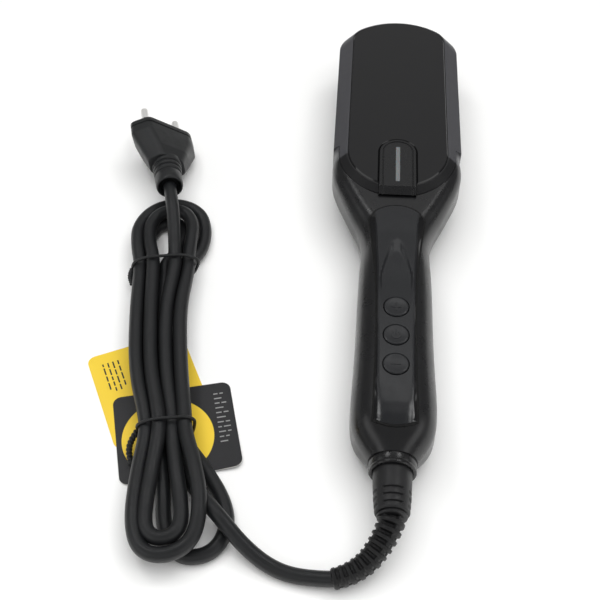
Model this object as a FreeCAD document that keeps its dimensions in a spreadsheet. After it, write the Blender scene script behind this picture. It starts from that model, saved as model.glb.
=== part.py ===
import FreeCAD, Part
import math
import operator
import os
import Sketcher

Vector = FreeCAD.Vector

# Heated styling brush lying on its pins and the heel of its handle, with its cord tied in a hank.
# The frame: +Z up from the surface, +Y from the cord's end to the head's far end, +X to the right.

# Driving sizes in millimetres
size_values = {
    # Lengths along the brush, from the head's far end to the end of the swivel barrel
    "head_length": 106,
    "flare_length": 58,
    "grip_length": 98,
    "tail_length": 20,
    "barrel_reach": 26,
    # Widths
    "head_width": 65.4,
    "neck_width": 33.6,
    "grip_width": 37.2,
    # Heights above the surface
    "head_top": 38,
    "shoulder_top": 37.4,
    "neck_top": 34,
    "heel_top": 33.6,
    "head_floor": 15,
    "neck_floor": 6,
    "heel_sink": 0.4,
    "swivel_height": 17,
    # Rounding of the casing's sections, above and below, and its wall
    "shoulder_round": 8,
    "shoulder_under_round": 5,
    "neck_round": 12,
    "neck_under_round": 11,
    "heel_round": 13,
    "heel_under_round": 12,
    "casing_wall": 2.4,
    # Head: its sloped band, tongue that enters the casing, and shell
    "band_width": 6.6,
    "band_end_width": 2.8,
    "band_drop": 4.4,
    "tongue_inset": 3,
    "tongue_setback": 5,
    "head_wall": 2.2,
    "head_roof": 5.6,
    "frame_height": 5,
    "seam_gap": 0.2,
    "wire_gate_width": 15,
    "wire_gate_height": 6,
    # Cover plate on the head
    "cover_rim": 0.6,
    "cover_thickness": 1.6,
    "cover_rise": 0.5,
    "fit_gap": 0.15,
    # Arched indicator bezel, its light bar and lamp board
    "bezel_width": 18.6,
    "bezel_length": 37.7,
    "bezel_rise": 1,
    "bezel_depth": 3,
    "light_width": 2.6,
    "light_setback": 7,
    "light_end_gap": 5.7,
    "light_gap": 0.05,
    "lamp_board_width": 9,
    "lamp_board_margin": 4,
    "lamp_board_thickness": 1.2,
    "lamp_height": 1.6,
    "lamp_width": 2.2,
    "lamp_post_radius": 1.5,
    # Comb: plate, pins and their cool tips
    "plate_inset": 5,
    "plate_lip": 2,
    "plate_lift": 1.4,
    "plate_thickness": 3,
    "pin_pitch": 6.6,
    "pin_radius": 1.4,
    "pin_end_radius": 1.3,
    "pin_length": 12.2,
    "tip_radius": 1.4,
    "pin_field_setback": 20,
    # Heaters and what holds and guards them
    "heater_width": 18,
    "heater_thickness": 3.6,
    "heater_space": 6,
    "sheet_margin": 3,
    "sheet_thickness": 0.4,
    "clamp_width": 12,
    "clamp_thickness": 0.8,
    "clamp_foot": 7,
    "clamp_to_frame": 1,
    "sensor_radius": 1.5,
    "sensor_length": 9,
    "fuse_radius": 2,
    "fuse_length": 12,
    "guard_offset": 17,
    # Screws and the bosses that take them
    "screw_radius": 1.5,
    "screw_head_radius": 2.8,
    "screw_head_height": 2,
    "screw_length": 12,
    "screw_seat": 7,
    "screw_slot_width": 0.9,
    "screw_gap": 0.1,
    "boss_wall": 2,
    "screw_to_board": 9,
    "small_screw_radius": 1,
    "small_screw_head_radius": 1.9,
    "small_screw_head_height": 1.2,
    "small_screw_length": 6,
    "head_boss_wall": 1.4,
    "head_boss_height": 9,
    "head_screw_inset": 2.5,
    "head_screw_setback": 14,
    "head_screw_spacing": 56,
    # Control panel let into the handle
    "panel_rise": 0.6,
    "panel_depth": 1.3,
    "panel_to_seam": 5.8,
    "panel_arch_rise": 8.5,
    "panel_top_width": 28,
    "panel_waist_width": 18.4,
    "panel_end_width": 19.6,
    "panel_end_rise": 6,
    "panel_to_tail": 8.7,
    # Buttons, control board and switches
    "button_radius": 5.8,
    "button_pitch": 16,
    "button_to_heel": 35.4,
    "button_rise": 0.4,
    "button_flange": 0.9,
    "button_flange_height": 1,
    "button_gap": 0.3,
    "stem_radius": 1.7,
    "stem_engagement": 0.5,
    "board_length": 54,
    "board_width": 15,
    "board_thickness": 1.6,
    "board_height": 21,
    "switch_width": 6.2,
    "switch_height": 3.6,
    "switch_well": 1.6,
    "post_radius": 2,
    "post_inset": 3,
    # Wires inside
    "wire_radius": 1,
    "wire_spread": 6.3,
    "wire_to_barrel": 0.8,
    # Swivel: collar on the handle, barrel on the cord
    "collar_step": 0.95,
    "tail_step": 0.35,
    "collar_lip": 5,
    "collar_wall": 0.7,
    "spigot_length": 6,
    "journal_radius": 8.4,
    "barrel_taper": 0.7,
    "barrel_neck_length": 2.4,
    "swivel_gap": 0.1,
    "swivel_end_gap": 0.4,
    "swivel_flange_step": 0.5,
    "swivel_flange": 2,
    "stop_reach": 1.5,
    "stop_width": 2.4,
    "cord_bore_radius": 3.6,
    "grip_groove_width": 1.2,
    "grip_groove_depth": 0.6,
    "grip_groove_pitch": 3.2,
    "grip_groove_length": 9,
    # Cord, its bend relief and the hank's strands
    "cord_radius": 3.3,
    "boot_core_radius": 4.9,
    "boot_rib_radius": 6,
    "strand_gap": 0.7,
    # Twist ties and tags
    "tie_radius": 0.8,
    "tie_gap": 0.35,
    "tie_corner": 3.5,
    "tie_tail_radius": 1.1,
    "tie_tail_length": 13,
    "tag_thickness": 0.4,
    "tag_corner": 4,
    "tag_width": 54,
    "tag_length": 46.5,
    # Plug
    "plug_width": 39.5,
    "plug_height": 16.8,
    "plug_edge": 25,
    "plug_plate": 10,
    "plug_taper": 19.5,
    "plug_tail_width": 23,
    "plug_tail_height": 15.6,
    "plug_tail_edge": 12.5,
    "plug_sleeve_length": 18,
    "plug_sleeve_radius": 7.7,
    "plug_sleeve_end_radius": 7,
    "plug_sleeve_groove": 1.6,
    "plug_sleeve_groove_depth": 0.8,
    "plug_pin_radius": 2,
    "plug_pin_length": 19,
    "plug_pin_spacing": 19,
    "plug_pin_root": 6,
    "plug_pin_sleeve": 9,
    "plug_pin_sleeve_wall": 0.25,
    # Length by which every cutting shape passes the face that it cuts
    "overrun": 2,
}

# Shares of the head's width that its bowed far end and that end's corners take as radius
head_end_share = 0.576
head_corner_share = 0.273
# Share of the panel's length, its two ends left out, that lies above its waist
panel_waist_share = 0.571

# Counts
pin_columns = 7
pin_rows = 14
boot_ribs = 11
grip_grooves = 3
sleeve_grooves = 3

doc = FreeCAD.newDocument("heated_styling_brush")
sheet = doc.addObject("Spreadsheet::Sheet", "Sizes")
for row, (alias, value) in enumerate(size_values.items(), start=1):
    sheet.set("A%d" % row, alias)
    sheet.set("B%d" % row, str(value))
    sheet.setAlias("B%d" % row, alias)
doc.recompute()


class Dim:
    # A length that knows its value now and the sheet formula that gives it.

    def __init__(self, value, text):
        self.value = value
        self.text = text

    def __float__(self):
        return self.value

    def join(self, other, sign, work, swap=False):
        first, second = self, as_dim(other)
        if swap:
            first, second = second, first
        return Dim(work(first.value, second.value), "(%s %s %s)" % (first.text, sign, second.text))

    def __add__(self, other):
        return self.join(other, "+", operator.add)

    def __radd__(self, other):
        return self.join(other, "+", operator.add, swap=True)

    def __sub__(self, other):
        return self.join(other, "-", operator.sub)

    def __rsub__(self, other):
        return self.join(other, "-", operator.sub, swap=True)

    def __mul__(self, other):
        return self.join(other, "*", operator.mul)

    def __rmul__(self, other):
        return self.join(other, "*", operator.mul, swap=True)

    def __truediv__(self, other):
        return self.join(other, "/", operator.truediv)

    def __neg__(self):
        return Dim(-self.value, "(0 - %s)" % self.text)


def as_dim(number):
    if isinstance(number, Dim):
        return number
    return Dim(float(number), "%.6f" % number)


def root(dim):
    return Dim(math.sqrt(dim.value), "sqrt(%s)" % dim.text)


class SheetSizes:
    # Reads a cell of the sheet by its alias, as a Dim.

    def __getattr__(self, alias):
        return Dim(float(getattr(sheet, alias)), "Sizes." + alias)


size = SheetSizes()


def bind(thing, **formulas):
    for name, dim in formulas.items():
        thing.setExpression(name, as_dim(dim).text)


def place(thing, x=0, y=0, z=0):
    for axis, dim in zip("xyz", (x, y, z)):
        thing.setExpression("Placement.Base." + axis, as_dim(dim).text)


turns = {
    "Z": FreeCAD.Rotation(),
    "Y": FreeCAD.Rotation(Vector(1, 0, 0), -90),
}


def block(name, width, depth, height, x=0, y=0, z=0):
    # A box centred on x that starts at y and z.
    box = doc.addObject("Part::Box", name)
    bind(box, Length=width, Width=depth, Height=height)
    place(box, x - as_dim(width) / 2, y, z)
    return box


def rod(name, radius, length, x=0, y=0, z=0, along="Z"):
    cylinder = doc.addObject("Part::Cylinder", name)
    bind(cylinder, Radius=radius, Height=length)
    cylinder.Placement = FreeCAD.Placement(Vector(), turns[along])
    place(cylinder, x, y, z)
    return cylinder


def taper(name, radius, end_radius, length, x=0, y=0, z=0, along="Z"):
    cone = doc.addObject("Part::Cone", name)
    bind(cone, Radius1=radius, Radius2=end_radius, Height=length)
    cone.Placement = FreeCAD.Placement(Vector(), turns[along])
    place(cone, x, y, z)
    return cone


def fuse(name, *solids):
    joined = doc.addObject("Part::MultiFuse", name)
    joined.Shapes = list(solids)
    return joined


def common(name, *solids):
    shared = doc.addObject("Part::MultiCommon", name)
    shared.Shapes = list(solids)
    return shared


def cut(name, base, *tools):
    rest = doc.addObject("Part::Cut", name)
    rest.Base = base
    rest.Tool = tools[0] if len(tools) == 1 else fuse(name + "_tools", *tools)
    return rest


def group(name, solids):
    bundle = doc.addObject("Part::Compound", name)
    bundle.Links = list(solids)
    return bundle


def shaped(name, shape):
    feature = doc.addObject("Part::Feature", name)
    feature.Shape = shape
    return feature


def new_body(name):
    return doc.addObject("PartDesign::Body", name)


def plane_of(body, role):
    return next(part for part in body.Origin.OriginFeatures if part.Role == role)


def arc_between(start, end, radius, side):
    # The minor arc from start to end; side is 1 where its centre lies to the left of the way there.
    chord = end - start
    half = chord.Length / 2
    left = Vector(-chord.y, chord.x, 0).normalize()
    centre = start + chord / 2 + left * side * math.sqrt(max(radius * radius - half * half, 0))
    first, last = (start, end) if side > 0 else (end, start)
    angles = [math.atan2(point.y - centre.y, point.x - centre.x) for point in (first, last)]
    return Part.ArcOfCircle(Part.Circle(centre, Vector(0, 0, 1), radius), *angles)


def profile(body, name, plane, offset, points, arcs):
    # A closed sketch through the points, every one bound to its formula.
    # The entry of arcs at a point's index gives the radius and side of the stretch after it.
    sketch = body.newObject("Sketcher::SketchObject", name)
    sketch.AttachmentSupport = [(plane_of(body, plane), "")]
    sketch.MapMode = "FlatFace"
    sketch.setExpression("AttachmentOffset.Base.z", as_dim(offset).text)

    def dimension(dim, *constraint):
        number = sketch.addConstraint(Sketcher.Constraint(*constraint, float(dim)))
        sketch.setExpression("Constraints[%d]" % number, as_dim(dim).text)

    spots = [Vector(float(x), float(y), 0) for x, y in points]
    stretches = []
    for index, start in enumerate(spots):
        end = spots[(index + 1) % len(spots)]
        if index in arcs:
            radius, side = arcs[index]
            curve = sketch.addGeometry(arc_between(start, end, float(radius), side))
            stretches.append((curve, 1, 2) if side > 0 else (curve, 2, 1))
        else:
            stretches.append((sketch.addGeometry(Part.LineSegment(start, end)), 1, 2))
    for index, (x, y) in enumerate(points):
        before, _, before_end = stretches[index - 1]
        curve, start, _ = stretches[index]
        sketch.addConstraint(Sketcher.Constraint("Coincident", before, before_end, curve, start))
        dimension(x, "DistanceX", -1, 1, curve, start)
        dimension(y, "DistanceY", -1, 1, curve, start)
    for index, (radius, side) in arcs.items():
        dimension(radius, "Radius", stretches[index][0])
    return sketch


def slab(name, outline, bottom, height):
    # A plan outline raised from bottom.
    body = new_body(name)
    pad = body.newObject("PartDesign::Pad", name + "_pad")
    pad.Profile = profile(body, name + "_outline", "XY_Plane", bottom, *outline)
    bind(pad, Length=height)
    return body


def loft(body, name, sections, ruled):
    feature = body.newObject("PartDesign::AdditiveLoft", name)
    feature.Profile = sections[0]
    feature.Sections = sections[1:]
    feature.Ruled = ruled
    return feature


# Places along the brush and heights that several pieces share
handle_length = size.flare_length + size.grip_length + size.tail_length
overall_length = size.head_length + handle_length + size.barrel_reach
head_end = overall_length / 2
shoulder = head_end - size.head_length
neck = shoulder - size.flare_length
heel = neck - size.grip_length
tail = heel - size.tail_length
barrel_end = tail - size.barrel_reach
half_head = size.head_width / 2
frame_top = size.head_floor + size.frame_height
head_end_radius = size.head_width * head_end_share
head_corner_radius = size.head_width * head_corner_share
tongue_radius = half_head - size.tongue_inset
tongue_centre = shoulder - size.tongue_setback
seam = tongue_centre - tongue_radius
roof = size.head_top - size.head_roof
plate_floor = size.head_floor + size.plate_lift
plate_top = plate_floor + size.plate_thickness
head_middle = (shoulder + head_end) / 2
tall = size.head_top + size.overrun * 4
spigot_radius = size.journal_radius + size.swivel_gap + size.collar_wall
collar_radius = spigot_radius + size.collar_step
tail_radius = collar_radius + size.tail_step
swivel_flange_radius = spigot_radius + size.swivel_flange_step
barrel_end_radius = size.journal_radius - size.barrel_taper
light_length = size.bezel_length - size.light_setback - size.light_end_gap
lamp_board_length = light_length + size.lamp_board_margin * 2


# Casing of the handle: shares of the way along, the width, the top and the floor at each section

# From the shoulder to the neck: way, width, top and floor, where 1 is the neck's
flare_shares = (
    (0, 0, 0, 0),
    (0.14, 0.012, 0.12, 0.02),
    (0.34, 0.075, 0.38, 0.14),
    (0.53, 0.335, 0.6, 0.38),
    (0.72, 0.64, 0.78, 0.64),
    (0.89, 0.91, 0.92, 0.87),
    (1, 1, 1, 1),
)
# From the neck to the heel, where 1 is the heel's
grip_shares = (
    (0.14, 0.02, 0, 0.2),
    (0.53, 0.42, 0.3, 0.72),
    (0.82, 0.86, 0.7, 1),
    (1, 1, 1, 1),
)
# Share of the tail's half width that its rounding takes
tail_round_share = 0.914
# From the heel to the tail, where 1 is the tail's
tail_shares = (
    (0.4, 0.14, 0.14, 0.14),
    (0.7, 0.46, 0.46, 0.46),
    (1, 1, 1, 1),
)

shoulder_section = (
    shoulder, half_head, size.shoulder_top, size.head_floor, size.shoulder_round, size.shoulder_under_round)
neck_section = (
    neck, size.neck_width / 2, size.neck_top, size.neck_floor, size.neck_round, size.neck_under_round)
heel_section = (
    heel, size.grip_width / 2, size.heel_top, -size.heel_sink, size.heel_round, size.heel_under_round)
tail_section = (
    tail, tail_radius, size.swivel_height + tail_radius, size.swivel_height - tail_radius,
    tail_radius * tail_round_share, tail_radius * tail_round_share)


def between(start, end, share):
    return start + (end - start) * share


def casing_sections():
    for start, end, table in (
            (shoulder_section, neck_section, flare_shares),
            (neck_section, heel_section, grip_shares),
            (heel_section, tail_section, tail_shares)):
        for way, width, top, floor in table:
            yield [between(*pair) for pair in zip(start, end, (way, width, top, floor, width, width))]


def casing_loft(name, inset):
    # The casing's form, drawn in by inset all round.
    body = new_body(name)
    sketches = []
    for number, (along, half, top, floor, over, under) in enumerate(casing_sections()):
        half = half - inset
        top = top - inset
        floor = floor + inset
        over = over - inset
        under = under - inset
        points = [
            (half - under, floor), (half, floor + under), (half, top - over), (half - over, top),
            (over - half, top), (-half, top - over), (-half, floor + under), (under - half, floor)]
        arcs = {0: (under, 1), 2: (over, 1), 4: (over, 1), 6: (under, 1)}
        sketches.append(profile(body, "%s_%d" % (name, number), "XZ_Plane", -along, points, arcs))
    loft(body, name + "_loft", sketches, False)
    return body


# Head: plan outline, form with its sloped band, and the tongue that enters the casing

def head_outline(inset, end_inset=None):
    # The head's plan, drawn in by inset, and by end_inset at its bowed far end where that differs.
    end_inset = inset if end_inset is None else end_inset
    side = half_head - inset
    end_radius = head_end_radius - end_inset
    corner_radius = head_corner_radius - (inset + end_inset) / 2
    reach = end_radius - corner_radius
    end_centre = head_end - head_end_radius
    corner_x = side - corner_radius
    corner_rise = root(reach * reach - corner_x * corner_x)
    corner_y = end_centre + corner_rise
    join_x = corner_x * end_radius / reach
    join_y = end_centre + corner_rise * end_radius / reach
    points = [
        (side, tongue_centre), (side, corner_y), (join_x, join_y), (-join_x, join_y),
        (-side, corner_y), (-side, tongue_centre), (0, tongue_centre - side)]
    arcs = {1: (corner_radius, 1), 2: (end_radius, 1), 3: (corner_radius, 1), 5: (side, 1), 6: (side, 1)}
    return points, arcs


def cover_outline(inset):
    # The cover's plan, drawn in from the band's upper edge.
    return head_outline(size.band_width + inset, size.band_end_width + inset)


def head_form(name, rise):
    # The head's solid form above the frame, with its band sloping in to the cover.
    body = slab(name, head_outline(0), frame_top, size.head_top - size.band_drop + rise - frame_top)
    top = size.head_top + rise
    band_foot = profile(body, name + "_foot", "XY_Plane", top - size.band_drop, *head_outline(0))
    band_edge = head_outline(size.band_width, size.band_end_width)
    band_head = profile(body, name + "_head", "XY_Plane", top, *band_edge)
    loft(body, name + "_band", [band_foot, band_head], True)
    return body


def tongue_form(name, grow):
    # Everything past the shoulder, and the narrower rounded tongue before it.
    radius = tongue_radius + grow
    below = -size.overrun
    height = tall + size.overrun
    wide = size.head_width + size.overrun * 4
    return fuse(
        name,
        rod(name + "_end", radius, height, y=tongue_centre, z=below),
        block(name + "_sides", radius * 2, size.tongue_setback + size.overrun, height,
              y=tongue_centre, z=below),
        block(name + "_head", wide, size.head_length + size.overrun, height, y=shoulder - grow, z=below))


def arch(name, grow, bottom, height):
    # The bezel's plan: straight sides and a round top, open ended towards the handle.
    half = size.bezel_width / 2 + grow
    top = seam + size.bezel_length + grow
    spring = top - half
    foot = seam - size.overrun
    points = [(half, foot), (half, spring), (0, top), (-half, spring), (-half, foot)]
    return slab(name, (points, {1: (half, 1), 2: (half, 1)}), bottom, height)


def light_bar(name, grow, bottom):
    width = size.light_width + grow * 2
    length = light_length + grow * 2
    top = size.head_top + size.bezel_rise
    return block(name, width, length, top - bottom, y=seam + size.light_setback - grow, z=bottom)


lamp_board_top = roof - size.lamp_height - size.fit_gap
light_middle = seam + size.light_setback + light_length / 2
lamp_post_spread = (lamp_board_length - size.lamp_post_radius * 2) / 2
head_screw_places = [
    (side * (half_head - size.head_screw_inset),
     shoulder + size.head_screw_setback + size.head_screw_spacing * step)
    for side in (-1, 1) for step in (0, 1)]


def make_head_shell():
    solid = common("head_solid", head_form("head_outer", 0), tongue_form("head_tongue", 0))
    cavity_height = roof - frame_top + size.overrun
    cavity = common(
        "head_cavity",
        slab("head_hollow", head_outline(size.head_wall), frame_top - size.overrun, cavity_height),
        tongue_form("head_tongue_inside", -size.head_wall))
    cover_floor = size.head_top + size.cover_rise - size.cover_thickness
    cover_edge = cover_outline(size.cover_rim)
    recess = slab("cover_recess", cover_edge, cover_floor, size.cover_thickness)
    bezel_slot = arch("bezel_slot", size.fit_gap, size.head_top - size.bezel_depth, size.bezel_depth * 2)
    light_slot = light_bar("light_slot_roof", size.light_gap, roof - size.overrun)
    gate = block(
        "wire_gate", size.wire_gate_width, size.head_wall + size.overrun * 2,
        size.wire_gate_height + size.overrun, y=seam - size.overrun, z=frame_top - size.overrun)
    shell = cut("head_shell_bare", solid, cavity, recess, bezel_slot, light_slot, gate)
    bosses = [
        rod("head_boss_%d" % number, size.small_screw_radius + size.head_boss_wall,
            size.head_boss_height, x, y, frame_top)
        for number, (x, y) in enumerate(head_screw_places)]
    posts = [
        rod("lamp_post_%d" % number, size.lamp_post_radius, roof - lamp_board_top + size.fit_gap,
            0, light_middle + lamp_post_spread * side, lamp_board_top)
        for number, side in enumerate((-1, 1))]
    holes = [
        rod("head_boss_hole_%d" % number, size.small_screw_radius + size.screw_gap,
            size.head_boss_height, x, y, frame_top - size.overrun)
        for number, (x, y) in enumerate(head_screw_places)]
    return cut("head_shell", fuse("head_shell_bossed", shell, *bosses, *posts), *holes)


def make_head_cover():
    plate = slab(
        "cover_plate", cover_outline(size.cover_rim + size.fit_gap),
        size.head_top + size.cover_rise - size.cover_thickness, size.cover_thickness)
    notch = arch("cover_notch", size.fit_gap, size.head_top - size.bezel_depth, size.bezel_depth * 2)
    return cut("head_cover", plate, notch)


def make_indicator_bezel():
    block_form = arch("bezel_block", 0, size.head_top - size.bezel_depth, size.bezel_depth * 2)
    raised = common(
        "bezel_raised", block_form, head_form("bezel_skin", size.bezel_rise), tongue_form("bezel_end", 0))
    return cut("indicator_bezel", raised, light_bar("light_slot_bezel", size.light_gap, roof))


def make_indicator_light():
    return light_bar("indicator_light_bar", 0, roof)


def make_lamp_board():
    return block(
        "indicator_board", size.lamp_board_width, lamp_board_length, size.lamp_board_thickness,
        y=light_middle - lamp_board_length / 2, z=lamp_board_top - size.lamp_board_thickness)


def make_lamps():
    spacing = light_length / 3
    return group("indicator_lamps", [
        block("lamp_%d" % number, size.lamp_width, size.lamp_width, size.lamp_height,
              y=light_middle - size.lamp_width / 2 + spacing * (number - 1), z=lamp_board_top)
        for number in range(3)])


def screw(name, radius, length, head_radius, head_height, x, y, z):
    # A screw driven upwards from z, the underside of what its head bears on, with a slotted head.
    slot_depth = head_height / 2
    solid = fuse(
        name + "_solid",
        rod(name + "_shank", radius, length + head_height / 2, x, y, z - head_height / 2),
        rod(name + "_head", head_radius, head_height, x, y, z - head_height))
    slot = block(
        name + "_slot", size.screw_slot_width, head_radius * 4, slot_depth * 2,
        x, y - head_radius * 2, z - head_height - slot_depth)
    return cut(name, solid, slot)


def small_screw(name, x, y, z, length):
    return screw(
        name, size.small_screw_radius, length, size.small_screw_head_radius,
        size.small_screw_head_height, x, y, z)


head_screw_seat = size.head_floor + size.small_screw_head_height + size.fit_gap


def make_head_frame():
    ring = common(
        "frame_solid", slab("frame_outer", head_outline(0), size.head_floor, size.frame_height),
        tongue_form("frame_tongue", 0))
    window = slab(
        "frame_window", head_outline(size.plate_inset + size.plate_lip),
        size.head_floor - size.overrun, size.frame_height + size.overrun * 2)
    seat = slab("plate_seat", head_outline(size.plate_inset - size.fit_gap), plate_floor, size.frame_height)
    drillings = []
    for number, (x, y) in enumerate(head_screw_places):
        drillings.append(rod(
            "frame_hole_%d" % number, size.small_screw_radius + size.screw_gap,
            size.frame_height + size.overrun * 2, x, y, size.head_floor - size.overrun))
        drillings.append(rod(
            "frame_sink_%d" % number, size.small_screw_head_radius + size.screw_gap,
            head_screw_seat - size.head_floor + size.overrun, x, y, size.head_floor - size.overrun))
    return cut("head_frame", ring, window, seat, *drillings)


def make_head_screws():
    return group("head_screws", [
        small_screw("head_screw_%d" % number, x, y, head_screw_seat, size.small_screw_length)
        for number, (x, y) in enumerate(head_screw_places)])


# Comb plate, pins, heaters and guards

clamp_reach = head_end - size.plate_inset - size.clamp_to_frame - head_middle
sheet_length = (clamp_reach - size.clamp_foot - size.clamp_thickness) * 2
heater_span = sheet_length - size.sheet_margin * 2
heater_length = (heater_span - size.heater_space) / 2
clamp_screw_places = [
    (0, head_middle + side * (sheet_length / 2 + size.clamp_thickness + size.clamp_foot / 2))
    for side in (-1, 1)]


def make_comb_plate():
    plate = slab("comb_plate_bare", head_outline(size.plate_inset), plate_floor, size.plate_thickness)
    holes = [
        rod("clamp_hole_%d" % number, size.small_screw_radius + size.screw_gap,
            size.plate_thickness + size.overrun * 2, x, y, plate_floor - size.overrun)
        for number, (x, y) in enumerate(clamp_screw_places)]
    return cut("comb_plate", plate, *holes)


def pin_places():
    for column in range(pin_columns):
        for row_number in range(pin_rows):
            x = size.pin_pitch * (column - (pin_columns - 1) / 2)
            y = head_end - size.pin_field_setback - size.pin_pitch * row_number
            yield float(x), float(y)


def make_heated_pins():
    length = float(size.pin_length)
    foot = float(plate_floor)
    return shaped("heated_pins", Part.makeCompound([
        Part.makeCone(float(size.pin_radius), float(size.pin_end_radius), length,
                      Vector(x, y, foot), Vector(0, 0, -1))
        for x, y in pin_places()]))


def make_pin_tips():
    radius = float(size.tip_radius)
    height = float(plate_floor - size.pin_length) - radius
    round_end = Part.makeSphere(radius, Vector(0, 0, radius))
    tip = Part.makeCylinder(radius, height, Vector(0, 0, radius)).fuse(round_end)
    tip = tip.removeSplitter()
    return shaped("pin_tips", Part.makeCompound([tip.translated(Vector(x, y, 0)) for x, y in pin_places()]))


def make_heaters():
    step = (heater_length + size.heater_space) / 2
    return group("heating_elements", [
        block("heater_%d" % number, size.heater_width, heater_length, size.heater_thickness,
              y=head_middle - heater_length / 2 + step * side, z=plate_top)
        for number, side in enumerate((-1, 1))])


def make_insulating_sheet():
    return block(
        "insulating_sheet", size.heater_width + size.sheet_margin * 2, sheet_length, size.sheet_thickness,
        y=head_middle - sheet_length / 2, z=plate_top + size.heater_thickness)


def make_heater_clamp():
    strip_floor = plate_top + size.heater_thickness + size.sheet_thickness
    strip_length = sheet_length + size.clamp_thickness * 2
    start = head_middle - strip_length / 2
    end = head_middle + strip_length / 2
    strip = block("clamp_strip", size.clamp_width, strip_length, size.clamp_thickness,
                  y=start, z=strip_floor)
    legs = []
    ends = ((start, start - size.clamp_foot), (end - size.clamp_thickness, end))
    for number, (leg, foot) in enumerate(ends):
        legs.append(block(
            "clamp_leg_%d" % number, size.clamp_width, size.clamp_thickness,
            strip_floor - plate_top + size.clamp_thickness, y=leg, z=plate_top))
        legs.append(block(
            "clamp_foot_%d" % number, size.clamp_width, size.clamp_foot, size.clamp_thickness,
            y=foot, z=plate_top))
    holes = [
        rod("clamp_foot_hole_%d" % number, size.small_screw_radius + size.screw_gap,
            size.clamp_thickness + size.overrun * 2, x, y, plate_top - size.overrun)
        for number, (x, y) in enumerate(clamp_screw_places)]
    return cut("heater_clamp", fuse("clamp_bent", strip, *legs), *holes)


def make_clamp_screws():
    # Driven down through the clamp's feet into the plate.
    seat = plate_top + size.clamp_thickness
    length = size.clamp_thickness + size.plate_thickness
    return group("clamp_screws", [
        fuse("clamp_screw_%d" % number,
             rod("clamp_screw_shank_%d" % number, size.small_screw_radius, length, x, y, seat - length),
             rod("clamp_screw_head_%d" % number, size.small_screw_head_radius,
                 size.small_screw_head_height, x, y, seat))
        for number, (x, y) in enumerate(clamp_screw_places)])


def make_temperature_sensor():
    return rod(
        "temperature_sensor", size.sensor_radius, size.sensor_length, size.guard_offset,
        head_middle - size.sensor_length / 2, plate_top + size.sensor_radius, along="Y")


def make_thermal_fuse():
    return rod(
        "thermal_fuse", size.fuse_radius, size.fuse_length, -size.guard_offset,
        head_middle - size.fuse_length / 2, plate_top + size.fuse_radius, along="Y")


# Handle: panel, buttons and board

panel_top = seam - size.panel_to_seam
button_middle = heel + size.button_to_heel
board_start = button_middle - size.board_length / 2
board_top = size.board_height + size.board_thickness
casing_screw_places = [
    (0, board_start + size.board_length + size.screw_to_board), (0, board_start - size.screw_to_board)]
board_post_places = [
    (side * (size.board_width / 2 - size.post_inset),
     button_middle + end * (size.board_length / 2 - size.post_inset))
    for side in (-1, 1) for end in (-1, 1)]
button_names = ("plus_button", "power_button", "minus_button")
button_places = [button_middle + size.button_pitch * step for step in (1, 0, -1)]


def panel_prism(name, grow):
    # The panel's plan: arched top, sides that draw in to a waist, bowed lower end.
    half_top = size.panel_top_width / 2 + grow
    half_waist = size.panel_waist_width / 2 + grow
    half_end = size.panel_end_width / 2 + grow
    top = panel_top + grow
    upper = panel_top - size.panel_arch_rise
    lower = tail + size.panel_to_tail + size.panel_end_rise
    waist_length = (upper - lower) * panel_waist_share
    waist = upper - waist_length
    end = lower - size.panel_end_rise - grow

    def bow(dx, dy):
        # Radius of an arc that leaves one end square and is dx aside after dy.
        return (dx * dx + dy * dy) / (dx * 2)

    top_radius = bow(top - upper, half_top)
    side_radius = bow(half_top - half_waist, waist_length)
    lower_radius = bow(half_end - half_waist, waist - lower)
    end_radius = bow(lower - end, half_end)
    points = [
        (half_top, upper), (0, top), (-half_top, upper), (-half_waist, waist),
        (-half_end, lower), (0, end), (half_end, lower), (half_waist, waist)]
    arcs = {
        0: (top_radius, 1), 1: (top_radius, 1), 2: (side_radius, -1), 3: (lower_radius, -1),
        4: (end_radius, 1), 5: (end_radius, 1), 6: (lower_radius, -1), 7: (side_radius, -1)}
    return slab(name, (points, arcs), size.swivel_height, tall)


def button_bores(name):
    return [
        rod("%s_%d" % (name, number), size.button_radius + size.button_gap, tall, 0, y, board_top)
        for number, y in enumerate(button_places)]


def make_control_panel(panel_seat):
    skin = common(
        "panel_raised", panel_prism("panel_prism", 0), casing_loft("panel_skin", -size.panel_rise))
    return cut("control_panel", skin, panel_seat, *button_bores("panel_bore"))


def make_button(name, y):
    # Cap, retaining flange under the casing's wall, and the stem that reaches into the switch.
    cap_top = size.neck_top + size.panel_rise + size.button_rise
    flange_top = size.heel_top - size.casing_wall - size.button_gap * 2
    flange_floor = flange_top - size.button_flange_height
    stem_floor = board_top + size.switch_height - size.stem_engagement
    return fuse(
        name,
        rod(name + "_cap", size.button_radius, cap_top - flange_floor, 0, y, flange_floor),
        rod(name + "_flange", size.button_radius + size.button_flange + size.button_gap,
            size.button_flange_height, 0, y, flange_floor),
        rod(name + "_stem", size.stem_radius, flange_floor - stem_floor, 0, y, stem_floor))


def make_control_board():
    board = block(
        "control_board_bare", size.board_width, size.board_length, size.board_thickness,
        y=board_start, z=size.board_height)
    holes = [
        rod("board_hole_%d" % number, size.small_screw_radius + size.screw_gap,
            size.board_thickness + size.overrun * 2, x, y, size.board_height - size.overrun)
        for number, (x, y) in enumerate(board_post_places)]
    return cut("control_board", board, *holes)


def make_switches():
    switches = []
    for number, y in enumerate(button_places):
        case = block(
            "switch_case_%d" % number, size.switch_width, size.switch_width, size.switch_height,
            y=y - size.switch_width / 2, z=board_top)
        well = rod(
            "switch_well_%d" % number, size.stem_radius + size.button_gap, size.switch_well + size.overrun,
            0, y, board_top + size.switch_height - size.switch_well)
        switches.append(cut("switch_%d" % number, case, well))
    return group("push_switches", switches)


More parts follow.
